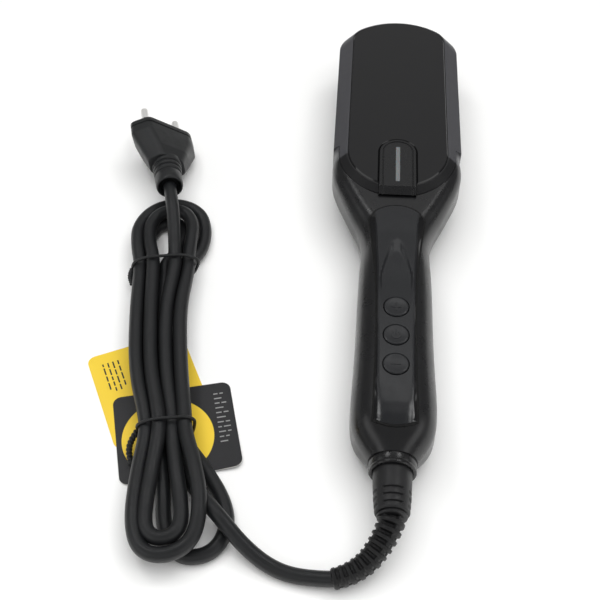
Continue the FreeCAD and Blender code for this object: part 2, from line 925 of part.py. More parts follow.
def make_board_screws():
    return group("board_screws", [
        small_screw("board_screw_%d" % number, x, y, size.board_height, size.small_screw_length)
        for number, (x, y) in enumerate(board_post_places)])


def make_casing_screws():
    seat = size.swivel_height - size.screw_seat
    return group("casing_screws", [
        screw("casing_screw_%d" % number, size.screw_radius, size.screw_length,
              size.screw_head_radius, size.screw_head_height, x, y, seat)
        for number, (x, y) in enumerate(casing_screw_places)])


# Casing halves, cut from one hollow form at the height of the swivel

swivel_flange_start = tail + size.spigot_length + size.swivel_end_gap


def make_casing(casing_form, panel_seat):
    wide = size.head_width + size.overrun * 4
    long = head_end - barrel_end
    shell = cut(
        "casing_shell", casing_form, casing_loft("casing_cavity", size.casing_wall),
        tongue_form("casing_mouth", size.seam_gap),
        block("below_surface", wide, long, tall, y=barrel_end, z=-tall),
        rod("collar_seat", spigot_radius + size.light_gap, size.spigot_length + size.overrun,
            0, tail - size.overrun, size.swivel_height, along="Y"))
    upper_space = block("upper_space", wide, long, tall, y=barrel_end, z=size.swivel_height)
    lower_space = block("lower_space", wide, long, tall, y=barrel_end, z=size.swivel_height - tall)

    screw_hole = size.screw_radius + size.screw_gap
    seat = size.swivel_height - size.screw_seat
    upper_bosses = []
    lower_bosses = []
    upper_holes = []
    lower_holes = []
    for number, (x, y) in enumerate(casing_screw_places):
        upper_bosses.append(rod(
            "upper_boss_%d" % number, size.screw_radius + size.boss_wall, tall, x, y, size.swivel_height))
        lower_bosses.append(rod(
            "lower_boss_%d" % number, size.screw_head_radius + size.boss_wall, tall,
            x, y, size.swivel_height - tall))
        upper_holes.append(rod(
            "upper_hole_%d" % number, screw_hole, size.screw_length,
            x, y, size.swivel_height - size.overrun))
        lower_holes.append(rod("lower_hole_%d" % number, screw_hole, tall, x, y, size.swivel_height - tall))
        lower_holes.append(rod(
            "lower_sink_%d" % number, size.screw_head_radius + size.screw_gap, tall, x, y, seat - tall))
    posts = []
    for number, (x, y) in enumerate(board_post_places):
        posts.append(rod("board_post_%d" % number, size.post_radius, tall, x, y, board_top))
        upper_holes.append(rod(
            "post_hole_%d" % number, size.small_screw_radius + size.screw_gap,
            size.small_screw_length, x, y, size.board_height))
    stop = block(
        "stop_rib", size.stop_width, size.swivel_flange, tall, y=swivel_flange_start,
        z=size.swivel_height + swivel_flange_radius + size.swivel_end_gap)

    inside = common("upper_inside", casing_form, fuse("upper_fittings", *upper_bosses, *posts, stop))
    upper_shell = common("upper_shell", shell, upper_space)
    panel_recess = cut("panel_recess", panel_prism("panel_opening", size.fit_gap), panel_seat)
    upper = cut(
        "upper_casing", fuse("upper_fitted", upper_shell, inside),
        panel_recess, *button_bores("casing_bore"), *upper_holes)

    below = common("lower_inside", casing_form, lower_space, fuse("lower_fittings", *lower_bosses))
    lower_shell = common("lower_shell", shell, lower_space)
    below_floor = block("below_floor", wide, long, tall, y=barrel_end, z=-tall)
    lower = cut("lower_casing", fuse("lower_fitted", lower_shell, below), below_floor, *lower_holes)
    return upper, lower


# Swivel

def make_swivel_collar():
    ring = fuse(
        "collar_solid",
        rod("collar_outside", collar_radius, size.collar_lip, 0, tail - size.collar_lip,
            size.swivel_height, along="Y"),
        rod("collar_spigot", spigot_radius, size.spigot_length, 0, tail, size.swivel_height, along="Y"))
    bore = rod(
        "collar_bore", size.journal_radius + size.swivel_gap,
        size.collar_lip + size.spigot_length + size.overrun * 2,
        0, tail - size.collar_lip - size.overrun, size.swivel_height, along="Y")
    return cut("swivel_collar", ring, bore)


def make_swivel_barrel():
    taper_start = barrel_end + size.barrel_neck_length
    journal_start = tail - size.collar_lip
    solid = fuse(
        "barrel_solid",
        taper("barrel_neck", size.boot_core_radius, barrel_end_radius, size.barrel_neck_length,
              0, barrel_end, size.swivel_height, along="Y"),
        taper("barrel_grip", barrel_end_radius, size.journal_radius, journal_start - taper_start,
              0, taper_start, size.swivel_height, along="Y"),
        rod("barrel_journal", size.journal_radius, swivel_flange_start + size.swivel_flange - journal_start,
            0, journal_start, size.swivel_height, along="Y"),
        rod("barrel_flange", swivel_flange_radius, size.swivel_flange,
            0, swivel_flange_start, size.swivel_height, along="Y"),
        block("stop_lug", size.stop_width, size.swivel_flange, swivel_flange_radius + size.stop_reach,
              y=swivel_flange_start, z=size.swivel_height - swivel_flange_radius - size.stop_reach))
    bore_start = barrel_end + size.barrel_neck_length
    bore = rod(
        "barrel_bore", size.cord_bore_radius, size.barrel_reach + size.spigot_length + size.overrun * 4,
        0, bore_start, size.swivel_height, along="Y")
    grooves = []
    for number in range(grip_grooves):
        y = taper_start + size.grip_groove_pitch * number + size.grip_groove_width
        for side, name in ((1, "over"), (-1, "under")):
            level = size.swivel_height + side * (barrel_end_radius + size.overrun / 2)
            depth = size.grip_groove_depth * 2 + size.overrun
            grooves.append(block(
                "groove_%s_%d" % (name, number), size.grip_groove_length, size.grip_groove_width, depth,
                y=y, z=level - depth / 2))
    return cut("swivel_barrel", solid, bore, *grooves)


# Tubes: straight runs with tangent bends, and smooth pairs of arcs through points with set directions

# Share of the shorter run beside a corner that its bend takes up
bend_share = 0.45
sample_step = 2


def turn_between(way, other):
    return math.acos(max(-1, min(1, way.dot(other) / (way.Length * other.Length))))


def bent_path(points):
    edges = []
    radii = []
    here = points[0]
    for before, corner, after in zip(points, points[1:], points[2:]):
        way_in = (corner - before).normalize()
        way_out = (after - corner).normalize()
        reach = bend_share * min((corner - before).Length, (after - corner).Length)
        half_turn = turn_between(way_in, way_out) / 2
        radius = reach / math.tan(half_turn)
        start = corner - way_in * reach
        end = corner + way_out * reach
        inward = (way_out - way_in).normalize()
        middle = corner + inward * (radius / math.cos(half_turn) - radius)
        edges.append(Part.LineSegment(here, start).toShape())
        edges.append(Part.Arc(start, middle, end).toShape())
        radii.append(radius)
        here = end
    edges.append(Part.LineSegment(here, points[-1]).toShape())
    return Part.Wire(edges), radii


def tangent_arc(start, way, end):
    # The arc that leaves start along way and reaches end, with its radius.
    chord = end - start
    turn = turn_between(way, chord)
    if turn < 1e-6:
        return Part.LineSegment(start, end).toShape(), math.inf
    along = Vector(chord).normalize()
    bulge = (way - along * way.dot(along)).normalize()
    middle = start + chord / 2 + bulge * (chord.Length / 2 * math.tan(turn / 2))
    return Part.Arc(start, middle, end).toShape(), chord.Length / (2 * math.sin(turn))


def smooth_path(stations):
    # Two tangent arcs between each station and the next; a station is a point and its direction.
    edges = []
    radii = []
    for (start, way), (end, end_way) in zip(stations, stations[1:]):
        chord = end - start
        both = way + end_way
        square = both.dot(both) - 4
        slope = -2 * chord.dot(both)
        level = chord.dot(chord)
        if abs(square) < 1e-9:
            reach = -level / slope
        else:
            reach = (-slope - math.sqrt(slope * slope - 4 * square * level)) / (2 * square)
        first = start + way * reach
        second = end - end_way * reach
        join = (first + second) / 2
        for arc_start, arc_way, arc_end in ((start, way, join), (join, (second - first).normalize(), end)):
            edge, radius = tangent_arc(arc_start, arc_way, arc_end)
            edges.append(edge)
            radii.append(radius)
    return Part.Wire(edges), radii


def tube_shape(path, radius):
    first = path.OrderedEdges[0]
    start = first.valueAt(first.FirstParameter)
    way = first.tangentAt(first.FirstParameter)
    ring = Part.Wire([Part.Circle(start, way, radius).toShape()])
    return path.makePipeShell([ring], True, False)


def report_tube(name, path, radii, radius, shape):
    expected = math.pi * radius * radius * path.Length
    print("%s: length %.1f, tightest bend %.1f, volume %.4f of section times length" % (
        name, path.Length, min(radii), shape.Volume / expected))


def bent_tube(name, points, radius):
    path, radii = bent_path(points)
    shape = tube_shape(path, radius)
    report_tube(name, path, radii, radius, shape)
    return shape


# Wires inside the handle; each table holds one wire, and its mirror image is the other

board_middle = size.board_height + size.board_thickness / 2
gate_middle = frame_top + size.wire_gate_height / 2
heater_middle = plate_top + size.heater_thickness / 2
# Shares of the spread, the way along and the rise from the first height to the last
mains_lead_shares = (
    (0.32, 0, 0),
    (0.9, 0.43, 0.33),
    (1, 0.76, 1),
    (1, 1, 1),
)
# The same, where the rise is from the board's height to the wire gate's
heater_lead_shares = (
    (1, 0, 0),
    (1, 0.1, 0),
    (0.86, 0.34, 0.9),
    (0.84, 0.57, 1),
    (1.06, 0.8, 0.6),
)
heater_lead_end_shares = (
    (1.2, 0.93),
    (1.2, 1),
)


def make_leads(name, table):
    radius = float(size.wire_radius)
    wires = []
    for side in (-1, 1):
        points = [Vector(side * float(x), float(y), float(z)) for x, y, z in table]
        wires.append(bent_tube("%s on side %d" % (name, side), points, radius))
    return shaped(name, Part.makeCompound(wires))


def make_mains_leads():
    start = swivel_flange_start + size.swivel_flange + size.wire_to_barrel
    return make_leads("mains_leads", [
        (size.wire_spread * spread, between(start, board_start, way),
         between(size.swivel_height, board_middle, rise))
        for spread, way, rise in mains_lead_shares])


def make_heater_leads():
    start = board_start + size.board_length
    end = head_middle - heater_span / 2
    points = [
        (size.wire_spread * spread, between(start, end, way), between(board_middle, gate_middle, rise))
        for spread, way, rise in heater_lead_shares]
    points += [(size.wire_spread * spread, between(start, end, way), heater_middle)
               for spread, way in heater_lead_end_shares]
    return make_leads("heater_leads", points)


# Cord: bend relief, free run, hank and the lead to the plug, in the order in which it runs

# Stations of the bend relief after the barrel: point and direction
boot_stations = (
    ((-6.5, -166, 11.5), (-0.55, -0.65, -0.5)),
    ((-23, -176.3, 5.6), (-0.985, 0, -0.17)),
)
boot_rib_shares = (-0.29, -0.2, 0.2, 0.29)
boot_start_share = 0.05

# Free run from the relief to the hank; the last point is where the hank's tube begins
cord_free_points = (
    (-23, -176.3, 5.6),
    (-34.8, -176.3, 3.56),
    (-47, -171.5, 3.5),
    (-57.5, -164.5, 7.2),
    (-67.5, -154.5, 12.3),
    (-77.5, -143.5, 9.3),
    (-87, -132.8, 4.6),
)

# Hank: where its frame stands and how it is turned; every other figure is in strand pitches
hank_centre = (-104, -71)
hank_turn = 6.8
# Ways along of the two ties and of the tube's two ends, and height of the lower layer
upper_tie = 7.95
lower_tie = -5.2
hank_start = 8.5
hank_end = -6.16
low_strand_height = 0.863
# Loops past the ties: column and layer of the strand that enters, then aside, along and height
# of its three stations, in the order in which the cord runs
far_loops = (
    ((1, 1), (-1.15, 10.99, 1.48), (0.205, 12.33, 1.48), (1.56, 10.99, 1.48)),
    ((0, 1), (-2.33, 10.96, 1.48), (0, 13.29, 0.973), (2.33, 10.96, 0.48)),
    ((0, 0), (-1.18, 10.99, 0.48), (0, 12.17, 0.48), (1.18, 10.99, 0.48)),
)
near_loops = (
    ((2, 1), (1.1, -10.96, 1.753), (0.137, -12, 1.726), (-0.82, -10.96, 1.753)),
    ((3, 1), (2.137, -9.73, 2.19), (0.07, -13.42, 1.56), (-1.89, -11.51, 1.534)),
    ((3, 0), (3.425, -10.89, 0.493), (1.712, -13.26, 0.493), (-0.137, -10.96, 0.603)),
)
last_strand = (2, 0)

# Plug: the end of its sleeve and how it lies; the lead leaves it straight, then comes by one more point
plug_tail = (-116, 28.3, 19.9)
lead_first_run = 9
lead_point = (-111.2, 9.8, 18.9)
plug_yaw = 13.7
plug_pitch = -7
plug_roll = 33.5

hank_rotation = FreeCAD.Rotation(Vector(0, 0, 1), hank_turn)
plug_rotation = (
    FreeCAD.Rotation(Vector(0, 0, 1), plug_yaw) * FreeCAD.Rotation(Vector(1, 0, 0), plug_pitch)
    * FreeCAD.Rotation(Vector(0, 1, 0), plug_roll))


strand_pitch = float(size.cord_radius * 2 + size.strand_gap)


def hank_point(aside, along, height):
    local = Vector(aside, along, height) * strand_pitch
    return Vector(hank_centre[0], hank_centre[1], 0) + hank_rotation.multVec(local)


def strand_place(strand, along):
    column, layer = strand
    return hank_point(column - 1.5, along, low_strand_height + layer)


away = hank_rotation.multVec(Vector(0, 1, 0))
rightward = hank_rotation.multVec(Vector(1, 0, 0))
hank_tube_end = strand_place(last_strand, hank_end)
hank_tube_start = strand_place(near_loops[0][0], hank_start)


def hank_stations():
    stations = [(hank_tube_start, -away)]
    for near, far in zip(near_loops, far_loops):
        strand, right, end, left = near
        stations += [(strand_place(strand, upper_tie), -away), (strand_place(strand, lower_tie), -away)]
        stations += [(hank_point(*right), -away), (hank_point(*end), -rightward), (hank_point(*left), away)]
        strand, left, end, right = far
        stations += [(strand_place(strand, lower_tie), away), (strand_place(strand, upper_tie), away)]
        stations += [(hank_point(*left), away), (hank_point(*end), rightward), (hank_point(*right), -away)]
    stations += [(strand_place(last_strand, along), -away) for along in (upper_tie, lower_tie)]
    stations.append((hank_tube_end, -away))
    return stations


def path_samples(path):
    samples = []
    for edge in path.OrderedEdges:
        count = max(2, int(edge.Length / sample_step))
        samples += edge.discretize(count)[:-1]
    return samples


def report_least_gap(name, samples, other, apart):
    # Least clear gap between two runs of samples; apart keeps near neighbours on one tube out.
    least = min(
        (point.distanceToPoint(spot), index, number)
        for index, point in enumerate(samples) for number, spot in enumerate(other)
        if apart == 0 or number - index > apart)
    print("%s: least gap %.2f at %s" % (
        name, least[0] - 2 * float(size.cord_radius), samples[least[1]]))


def make_cord():
    radius = float(size.cord_radius)
    free = [Vector(*point) for point in cord_free_points]
    free += [hank_tube_end - away * radius * 2.6, hank_tube_end]
    first = Vector(*plug_tail) + plug_rotation.multVec(Vector(0, -lead_first_run, 0))
    lead = [Vector(*plug_tail), first, Vector(*lead_point)]
    lead += [hank_tube_start + away * radius * 2.4, hank_tube_start]
    free_shape = bent_tube("cord_free", free, radius)
    lead_shape = bent_tube("cord_plug_lead", lead, radius)
    hank_path, hank_radii = smooth_path(hank_stations())
    hank_shape = tube_shape(hank_path, radius)
    report_tube("cord_hank", hank_path, hank_radii, radius, hank_shape)
    hank_samples = path_samples(hank_path)
    report_least_gap("hank to itself", hank_samples, hank_samples, 12)
    report_least_gap("free run to hank", path_samples(bent_path(free)[0]), hank_samples[:-12], 0)
    report_least_gap("lead to hank", path_samples(bent_path(lead)[0]), hank_samples[12:], 0)
    return (shaped("cord_free", free_shape), shaped("cord_hank", hank_shape),
            shaped("cord_plug_lead", lead_shape))


def make_cord_boot():
    core = float(size.boot_core_radius)
    start = (Vector(0, float(barrel_end), float(size.swivel_height)), Vector(0, -1, 0))
    stations = [start] + [(Vector(*point), Vector(*way).normalize()) for point, way in boot_stations]
    path, radii = smooth_path(stations)
    shape = tube_shape(path, core)
    report_tube("cord_boot core", path, radii, core, shape)
    edges = path.OrderedEdges

    def ring(distance, radius):
        # A circle square to the path, its seam always towards +Z.
        for edge in edges:
            if distance <= edge.Length or edge is edges[-1]:
                break
            distance -= edge.Length
        parameter = edge.getParameterByLength(distance)
        way = edge.tangentAt(parameter)
        circle = Part.Circle(edge.valueAt(parameter), way, radius)
        circle.XAxis = (Vector(0, 0, 1) - way * way.z).normalize()
        return Part.Wire([circle.toShape()])

    begin = path.Length * boot_start_share
    pitch = (path.Length - begin * 2) / boot_ribs
    for number in range(boot_ribs):
        middle = begin + pitch * (number + 0.5)
        reaches = (core - float(size.fit_gap), float(size.boot_rib_radius)) * 2
        rings = [
            ring(middle + pitch * share, radius)
            for share, radius in zip(boot_rib_shares, (reaches[0], reaches[1], reaches[1], reaches[0]))]
        shape = shape.fuse(Part.makeLoft(rings, True, True))
    return shaped("cord_boot", shape)


# Twist ties, tags and plug

tag_top = size.tag_thickness * 2


def make_twist_tie(name, along):
    # A wire ring round the strands with its two twisted ends lying along the hank's left side.
    wire = float(size.tie_radius)
    clear = float(size.cord_radius + size.tie_gap) + wire
    half = strand_pitch * 1.5 + clear
    low = float(tag_top) + wire
    high = strand_pitch * (low_strand_height + 1) + clear
    corner = float(size.tie_corner)
    outline = [(half, low), (half, high), (-half, high), (-half, low)]
    middle_spot = hank_point(0, along, 0)
    corners = [middle_spot + rightward * aside + Vector(0, 0, height) for aside, height in outline]
    edges = []
    for index, point in enumerate(corners):
        before = corners[index - 1]
        after = corners[(index + 1) % len(corners)]
        start = point + (before - point).normalize() * corner
        end = point + (after - point).normalize() * corner
        inward = ((before - point).normalize() + (after - point).normalize()).normalize()
        middle = point + inward * corner * (math.sqrt(2) - 1)
        edges.append(Part.Arc(start, middle, end).toShape())
        edges.append(Part.LineSegment(end, after + (point - after).normalize() * corner).toShape())
    ring = tube_shape(Part.Wire(edges), wire)
    tail_wire = float(size.tie_tail_radius)
    middle_height = (low + high) / 2
    tail_start = middle_spot - rightward * (half + tail_wire) + Vector(0, 0, middle_height)
    tail_end = middle_spot - rightward * (half + tail_wire * 3) - away * float(size.tie_tail_length)
    tail_end.z = low + tail_wire
    tail = Part.makeCylinder(tail_wire, (tail_end - tail_start).Length, tail_start, tail_end - tail_start)
    return shaped(name, ring.fuse(tail))


# Tags lie flat one on the other: middle, turn
tag_places = {
    "yellow_tag": ((-111.4, -84.3), -65.4),
    "black_tag": ((-95.7, -107.4), 13.8),
}


def make_tag(name, floor):
    half = size.tag_width / 2
    reach = size.tag_length / 2
    corner = size.tag_corner
    points = [
        (half - corner, -reach), (half, corner - reach), (half, reach - corner), (half - corner, reach),
        (corner - half, reach), (-half, reach - corner), (-half, corner - reach), (corner - half, -reach)]
    tag = slab(name, (points, {index: (corner, 1) for index in (0, 2, 4, 6)}), floor, size.tag_thickness)
    (x, y), turn = tag_places[name]
    tag.Placement = FreeCAD.Placement(Vector(x, y, 0), FreeCAD.Rotation(Vector(0, 0, 1), turn))
    return tag


def hexagon(width, height, edge):
    # A six-sided section: level edges above and below, a point at each side.
    return [
        (width / 2, 0), (edge / 2, height / 2), (-edge / 2, height / 2),
        (-width / 2, 0), (-edge / 2, -height / 2), (edge / 2, -height / 2)], {}


plug_length = size.plug_plate + size.plug_taper + size.plug_sleeve_length
plug_front = Vector(*plug_tail) + plug_rotation.multVec(Vector(0, float(plug_length), 0))


def lay_plug(piece):
    # Plug pieces are made about the middle of the front face, pins along +Y, and laid as the photo shows.
    piece.Placement = FreeCAD.Placement(plug_front, plug_rotation)
    return piece


def plug_pin_rods(name, radius, start, length):
    return [
        rod("%s_%d" % (name, number), radius, length, side * size.plug_pin_spacing / 2, start, 0, along="Y")
        for number, side in enumerate((-1, 1))]


def make_plug_body():
    body = new_body("plug_form")
    front = hexagon(size.plug_width, size.plug_height, size.plug_edge)
    back = hexagon(size.plug_tail_width, size.plug_tail_height, size.plug_tail_edge)
    pad = body.newObject("PartDesign::Pad", "plug_plate_pad")
    pad.Profile = profile(body, "plug_front", "XZ_Plane", 0, *front)
    bind(pad, Length=size.plug_plate)
    waist = profile(body, "plug_waist", "XZ_Plane", size.plug_plate, *front)
    end = profile(body, "plug_end", "XZ_Plane", size.plug_plate + size.plug_taper, *back)
    loft(body, "plug_taper_loft", [waist, end], True)
    bores = plug_pin_rods(
        "plug_bore", size.plug_pin_radius - size.plug_pin_sleeve_wall, -size.plug_pin_root,
        size.plug_pin_root + size.overrun)
    return lay_plug(cut("plug_body", body, *bores))


def make_plug_sleeve():
    sleeve = taper(
        "plug_sleeve_form", size.plug_sleeve_end_radius, size.plug_sleeve_radius, size.plug_sleeve_length,
        0, -plug_length, 0, along="Y")
    grooves = []
    groove_floor = size.plug_sleeve_end_radius - size.plug_sleeve_groove_depth / 2
    for number in range(sleeve_grooves):
        start = -plug_length + size.plug_sleeve_groove * (2 * number + 1) * 1.5
        outer = rod(
            "sleeve_groove_outer_%d" % number, size.plug_sleeve_radius + size.overrun,
            size.plug_sleeve_groove, 0, start, 0, along="Y")
        inner = rod(
            "sleeve_groove_inner_%d" % number, groove_floor, size.plug_sleeve_groove, 0, start, 0, along="Y")
        grooves.append(cut("sleeve_groove_%d" % number, outer, inner))
    return lay_plug(cut("plug_sleeve", sleeve, *grooves))


def make_plug_pins():
    slim = size.plug_pin_radius - size.plug_pin_sleeve_wall
    roots = plug_pin_rods(
        "plug_pin_root", slim, -size.plug_pin_root, size.plug_pin_root + size.plug_pin_sleeve)
    nose = size.plug_pin_radius / 2
    bare = plug_pin_rods(
        "plug_pin_bare", size.plug_pin_radius, size.plug_pin_sleeve,
        size.plug_pin_length - size.plug_pin_sleeve - nose)
    noses = [
        taper("plug_pin_nose_%d" % number, size.plug_pin_radius, nose, nose, side * size.plug_pin_spacing / 2,
              size.plug_pin_length - nose, 0, along="Y")
        for number, side in enumerate((-1, 1))]
    pins = [fuse("plug_pin_%d" % number, *pieces) for number, pieces in enumerate(zip(roots, bare, noses))]
    return lay_plug(group("plug_pins", pins))


def make_plug_pin_sleeves():
    outside = plug_pin_rods("pin_sleeve_outside", size.plug_pin_radius, 0, size.plug_pin_sleeve)
    inside = plug_pin_rods(
        "pin_sleeve_inside", size.plug_pin_radius - size.plug_pin_sleeve_wall, -size.overrun,
        size.plug_pin_sleeve + size.overrun * 2)
    sleeves = [cut("pin_sleeve_%d" % number, *pair) for number, pair in enumerate(zip(outside, inside))]
    return lay_plug(group("plug_pin_sleeves", sleeves))


# Assembly
casing_form = casing_loft("casing_form", 0)
panel_seat = casing_loft("panel_seat", size.panel_depth)
upper_casing, lower_casing = make_casing(casing_form, panel_seat)
cord_free, cord_hank, cord_plug_lead = make_cord()

pieces = {
    "upper_casing": upper_casing,
    "lower_casing": lower_casing,
    "head_shell": make_head_shell(),
    "head_cover": make_head_cover(),
    "indicator_bezel": make_indicator_bezel(),
    "indicator_light_bar": make_indicator_light(),
    "indicator_board": make_lamp_board(),
    "indicator_lamps": make_lamps(),
    "head_frame": make_head_frame(),
    "head_screws": make_head_screws(),
    "comb_plate": make_comb_plate(),
    "heated_pins": make_heated_pins(),
    "pin_tips": make_pin_tips(),
    "heating_elements": make_heaters(),
    "insulating_sheet": make_insulating_sheet(),
    "heater_clamp": make_heater_clamp(),
    "clamp_screws": make_clamp_screws(),
    "temperature_sensor": make_temperature_sensor(),
    "thermal_fuse": make_thermal_fuse(),
    "control_panel": make_control_panel(panel_seat),
    "control_board": make_control_board(),
    "push_switches": make_switches(),
    "board_screws": make_board_screws(),
    "casing_screws": make_casing_screws(),
    "mains_leads": make_mains_leads(),
    "heater_leads": make_heater_leads(),
    "swivel_collar": make_swivel_collar(),
    "swivel_barrel": make_swivel_barrel(),
    "cord_boot": make_cord_boot(),
    "cord_free": cord_free,
    "cord_hank": cord_hank,
    "cord_plug_lead": cord_plug_lead,
    "upper_twist_tie": make_twist_tie("upper_twist_tie", upper_tie),
    "lower_twist_tie": make_twist_tie("lower_twist_tie", lower_tie),
    "yellow_tag": make_tag("yellow_tag", 0),
    "black_tag": make_tag("black_tag", size.tag_thickness),
    "plug_body": make_plug_body(),
    "plug_sleeve": make_plug_sleeve(),
    "plug_pins": make_plug_pins(),
    "plug_pin_sleeves": make_plug_pin_sleeves(),
}
for button_name, button_place in zip(button_names, button_places):
    pieces[button_name] = make_button(button_name, button_place)
doc.recompute()

# Every object must be sound before anything is written
for thing in doc.Objects:
    if "Invalid" in thing.State or "Error" in thing.State:
        raise RuntimeError("%s did not recompute: %s" % (thing.Label, thing.State))
for label, piece in pieces.items():
    if piece.Shape.isNull() or not piece.Shape.isValid() or not piece.Shape.Solids:
        raise RuntimeError(label + " has no valid solid")
    piece.Label = label

os.makedirs("parts", exist_ok=True)
for label, piece in pieces.items():
    piece.Shape.exportStep("parts/%s.step" % label)
    print("%s: %d solids, %.0f mm3" % (label, len(piece.Shape.Solids), piece.Shape.Volume))
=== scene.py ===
import math

import bmesh
import bpy
from mathutils import Euler, Matrix, Vector
from mathutils.bvhtree import BVHTree


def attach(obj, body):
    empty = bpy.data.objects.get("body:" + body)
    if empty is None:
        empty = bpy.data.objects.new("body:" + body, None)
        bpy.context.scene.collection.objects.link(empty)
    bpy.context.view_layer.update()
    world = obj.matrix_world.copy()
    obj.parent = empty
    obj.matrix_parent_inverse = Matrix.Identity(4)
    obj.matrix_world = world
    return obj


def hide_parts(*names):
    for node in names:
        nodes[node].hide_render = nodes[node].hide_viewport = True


# Heated styling brush with its cord tied in a hank. Sizes below are in millimetres, Blender's are metres.
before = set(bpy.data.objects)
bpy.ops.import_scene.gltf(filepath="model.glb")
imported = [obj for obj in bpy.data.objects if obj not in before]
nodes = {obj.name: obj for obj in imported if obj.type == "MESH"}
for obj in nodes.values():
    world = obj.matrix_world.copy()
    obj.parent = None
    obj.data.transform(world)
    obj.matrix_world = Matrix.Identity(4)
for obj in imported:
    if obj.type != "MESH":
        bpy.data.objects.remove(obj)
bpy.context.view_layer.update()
mm = 0.001
micron = 1e-6
weld = 0.005 * mm  # points nearer than this are joined
print("stage: frame loaded with", len(nodes), "nodes")


# Small helpers

def hexColour(code):
    # sRGB hex to the linear colour that a socket takes
    parts = [int(code[place:place + 2], 16) / 255 for place in (1, 3, 5)]
    return [part / 12.92 if part <= 0.04045 else ((part + 0.055) / 1.055) ** 2.4 for part in parts] + [1]


def perMm(width):
    return 1000 / width  # scale of a pattern whose marks are this many millimetres wide


def addNode(tree, kind, inputs=None, **settings):
    # A node with its settings; an input that is a socket is linked, any other is a value
    node = tree.nodes.new(kind)
    for key, value in settings.items():
        setattr(node, key, value)
    for key, value in (inputs or {}).items():
        if isinstance(value, bpy.types.NodeSocket):
            tree.links.new(value, node.inputs[key])
        else:
            node.inputs[key].default_value = value
    return node


def startMaterial(name, sockets):
    material = bpy.data.materials.new(name)
    material.use_nodes = True
    shader = material.node_tree.nodes["Principled BSDF"]
    for key, value in sockets.items():
        shader.inputs[key].default_value = value
    return material, material.node_tree, shader


def smoothStep(value, low, high):
    share = min(1, max(0, (value - low) / (high - low)))
    return share * share * (3 - 2 * share)


def arcPoints(centre, radius, start, end, count):
    # Points on a level arc, angles in degrees from +X
    angles = [math.radians(start + (end - start) * step / count) for step in range(count + 1)]
    return [(centre[0] + radius * math.cos(angle), centre[1] + radius * math.sin(angle))
            for angle in angles]


def circlePoints(centre, radius, count):
    return arcPoints(centre, radius, 0, 360 - 360 / count, count - 1)


def levelRings(outline, levels):
    # The same outline at each height
    return [[(x, y, level) for x, y in outline] for level in levels]


def keepMesh(name, shape, sharpAngle=32, finishes=()):
    # Finished bmesh to an object, smooth except across edges that turn more than sharpAngle degrees
    bmesh.ops.recalc_face_normals(shape, faces=shape.faces)
    for face in shape.faces:
        face.smooth = True
    for edge in shape.edges:
        if len(edge.link_faces) == 2 and edge.calc_face_angle() > math.radians(sharpAngle):
            edge.smooth = False
    mesh = bpy.data.meshes.new(name)
    shape.to_mesh(mesh)
    shape.free()
    for material in finishes:
        mesh.materials.append(material)
    piece = bpy.data.objects.new(name, mesh)
    bpy.context.scene.collection.objects.link(piece)
    return piece


def skinRows(shape, rows, closed=False):
    # Faces between neighbouring rows of equally many points; closed joins each row's end to its start
    faces = []
    for low, high in zip(rows, rows[1:]):
        for index in range(len(low) if closed else len(low) - 1):
            after = (index + 1) % len(low)
            faces.append(shape.faces.new((low[index], low[after], high[after], high[index])))
    return faces


def ringShape(rings, capFirst=True, capLast=True, shape=None):
    # Skin through closed rings, in millimetres
    shape = shape or bmesh.new()
    rows = [[shape.verts.new(Vector(point) * mm) for point in ring] for ring in rings]
    skinRows(shape, rows, True)
    if capFirst:
        shape.faces.new(list(reversed(rows[0])))
    if capLast:
        shape.faces.new(rows[-1])
    return shape


def openEdges(shape):
    return [edge for edge in shape.edges if edge.is_boundary]


def turnMatrix(degrees, axis):
    return Matrix.Rotation(math.radians(degrees), 4, axis)


def easeRim(shape, level, width, steps):
    # Rounds the edges that lie wholly at this height
    slack = 0.001 * mm
    rim = [edge for edge in shape.edges
           if all(abs(vert.co.z - level * mm) < slack for vert in edge.verts)]
    bmesh.ops.bevel(shape, geom=rim, offset=width * mm, offset_type="OFFSET", segments=steps,
                    profile=0.5, affect="EDGES", clamp_overlap=True)


def evenNormals(piece):
    # Large faces set the shading, so that flats stay flat beside their rounded edges
    piece.modifiers.new("even_normals", "WEIGHTED_NORMAL").keep_sharp = True
    return piece


def splineObject(name, runs, radius, resolution, roundness):
    # One open NURBS spline for each run of control points; radius 0 leaves bare lines
    curve = bpy.data.curves.new(name, "CURVE")
    curve.dimensions = "3D"
    curve.resolution_u = resolution
    curve.bevel_depth = radius * mm
    curve.bevel_resolution = roundness
    curve.use_fill_caps = True
    for run in runs:
        spline = curve.splines.new("NURBS")
        spline.points.add(len(run) - 1)
        for spot, point in zip(spline.points, run):
            spot.co = (*(Vector(point) * mm), 1)
        spline.order_u = 3
        spline.use_endpoint_u = True
    piece = bpy.data.objects.new(name, curve)
    bpy.context.scene.collection.objects.link(piece)
    return piece


def linePoints(name, points, resolution):
    # Points of the smooth line with these control points, as Blender's own curve gives them
    line = splineObject(name, [points], 0, resolution, 0)
    mesh = bpy.data.meshes.new_from_object(line.evaluated_get(bpy.context.evaluated_depsgraph_get()))
    spots = [vert.co / mm for vert in mesh.vertices]
    bpy.data.objects.remove(line)
    bpy.data.meshes.remove(mesh)
    return spots


def evenSpots(line, count):
    # Equal steps along a line of points: place and direction of each
    lengths = [0]
    for before, after in zip(line, line[1:]):
        lengths.append(lengths[-1] + (after - before).length)
    spots = []
    index = 0
    for step in range(count + 1):
        distance = lengths[-1] * step / count
        while index < len(line) - 2 and lengths[index + 1] < distance:
            index += 1
        way = (line[index + 1] - line[index]).normalized()
        spots.append((line[index] + way * (distance - lengths[index]), way))
    return spots


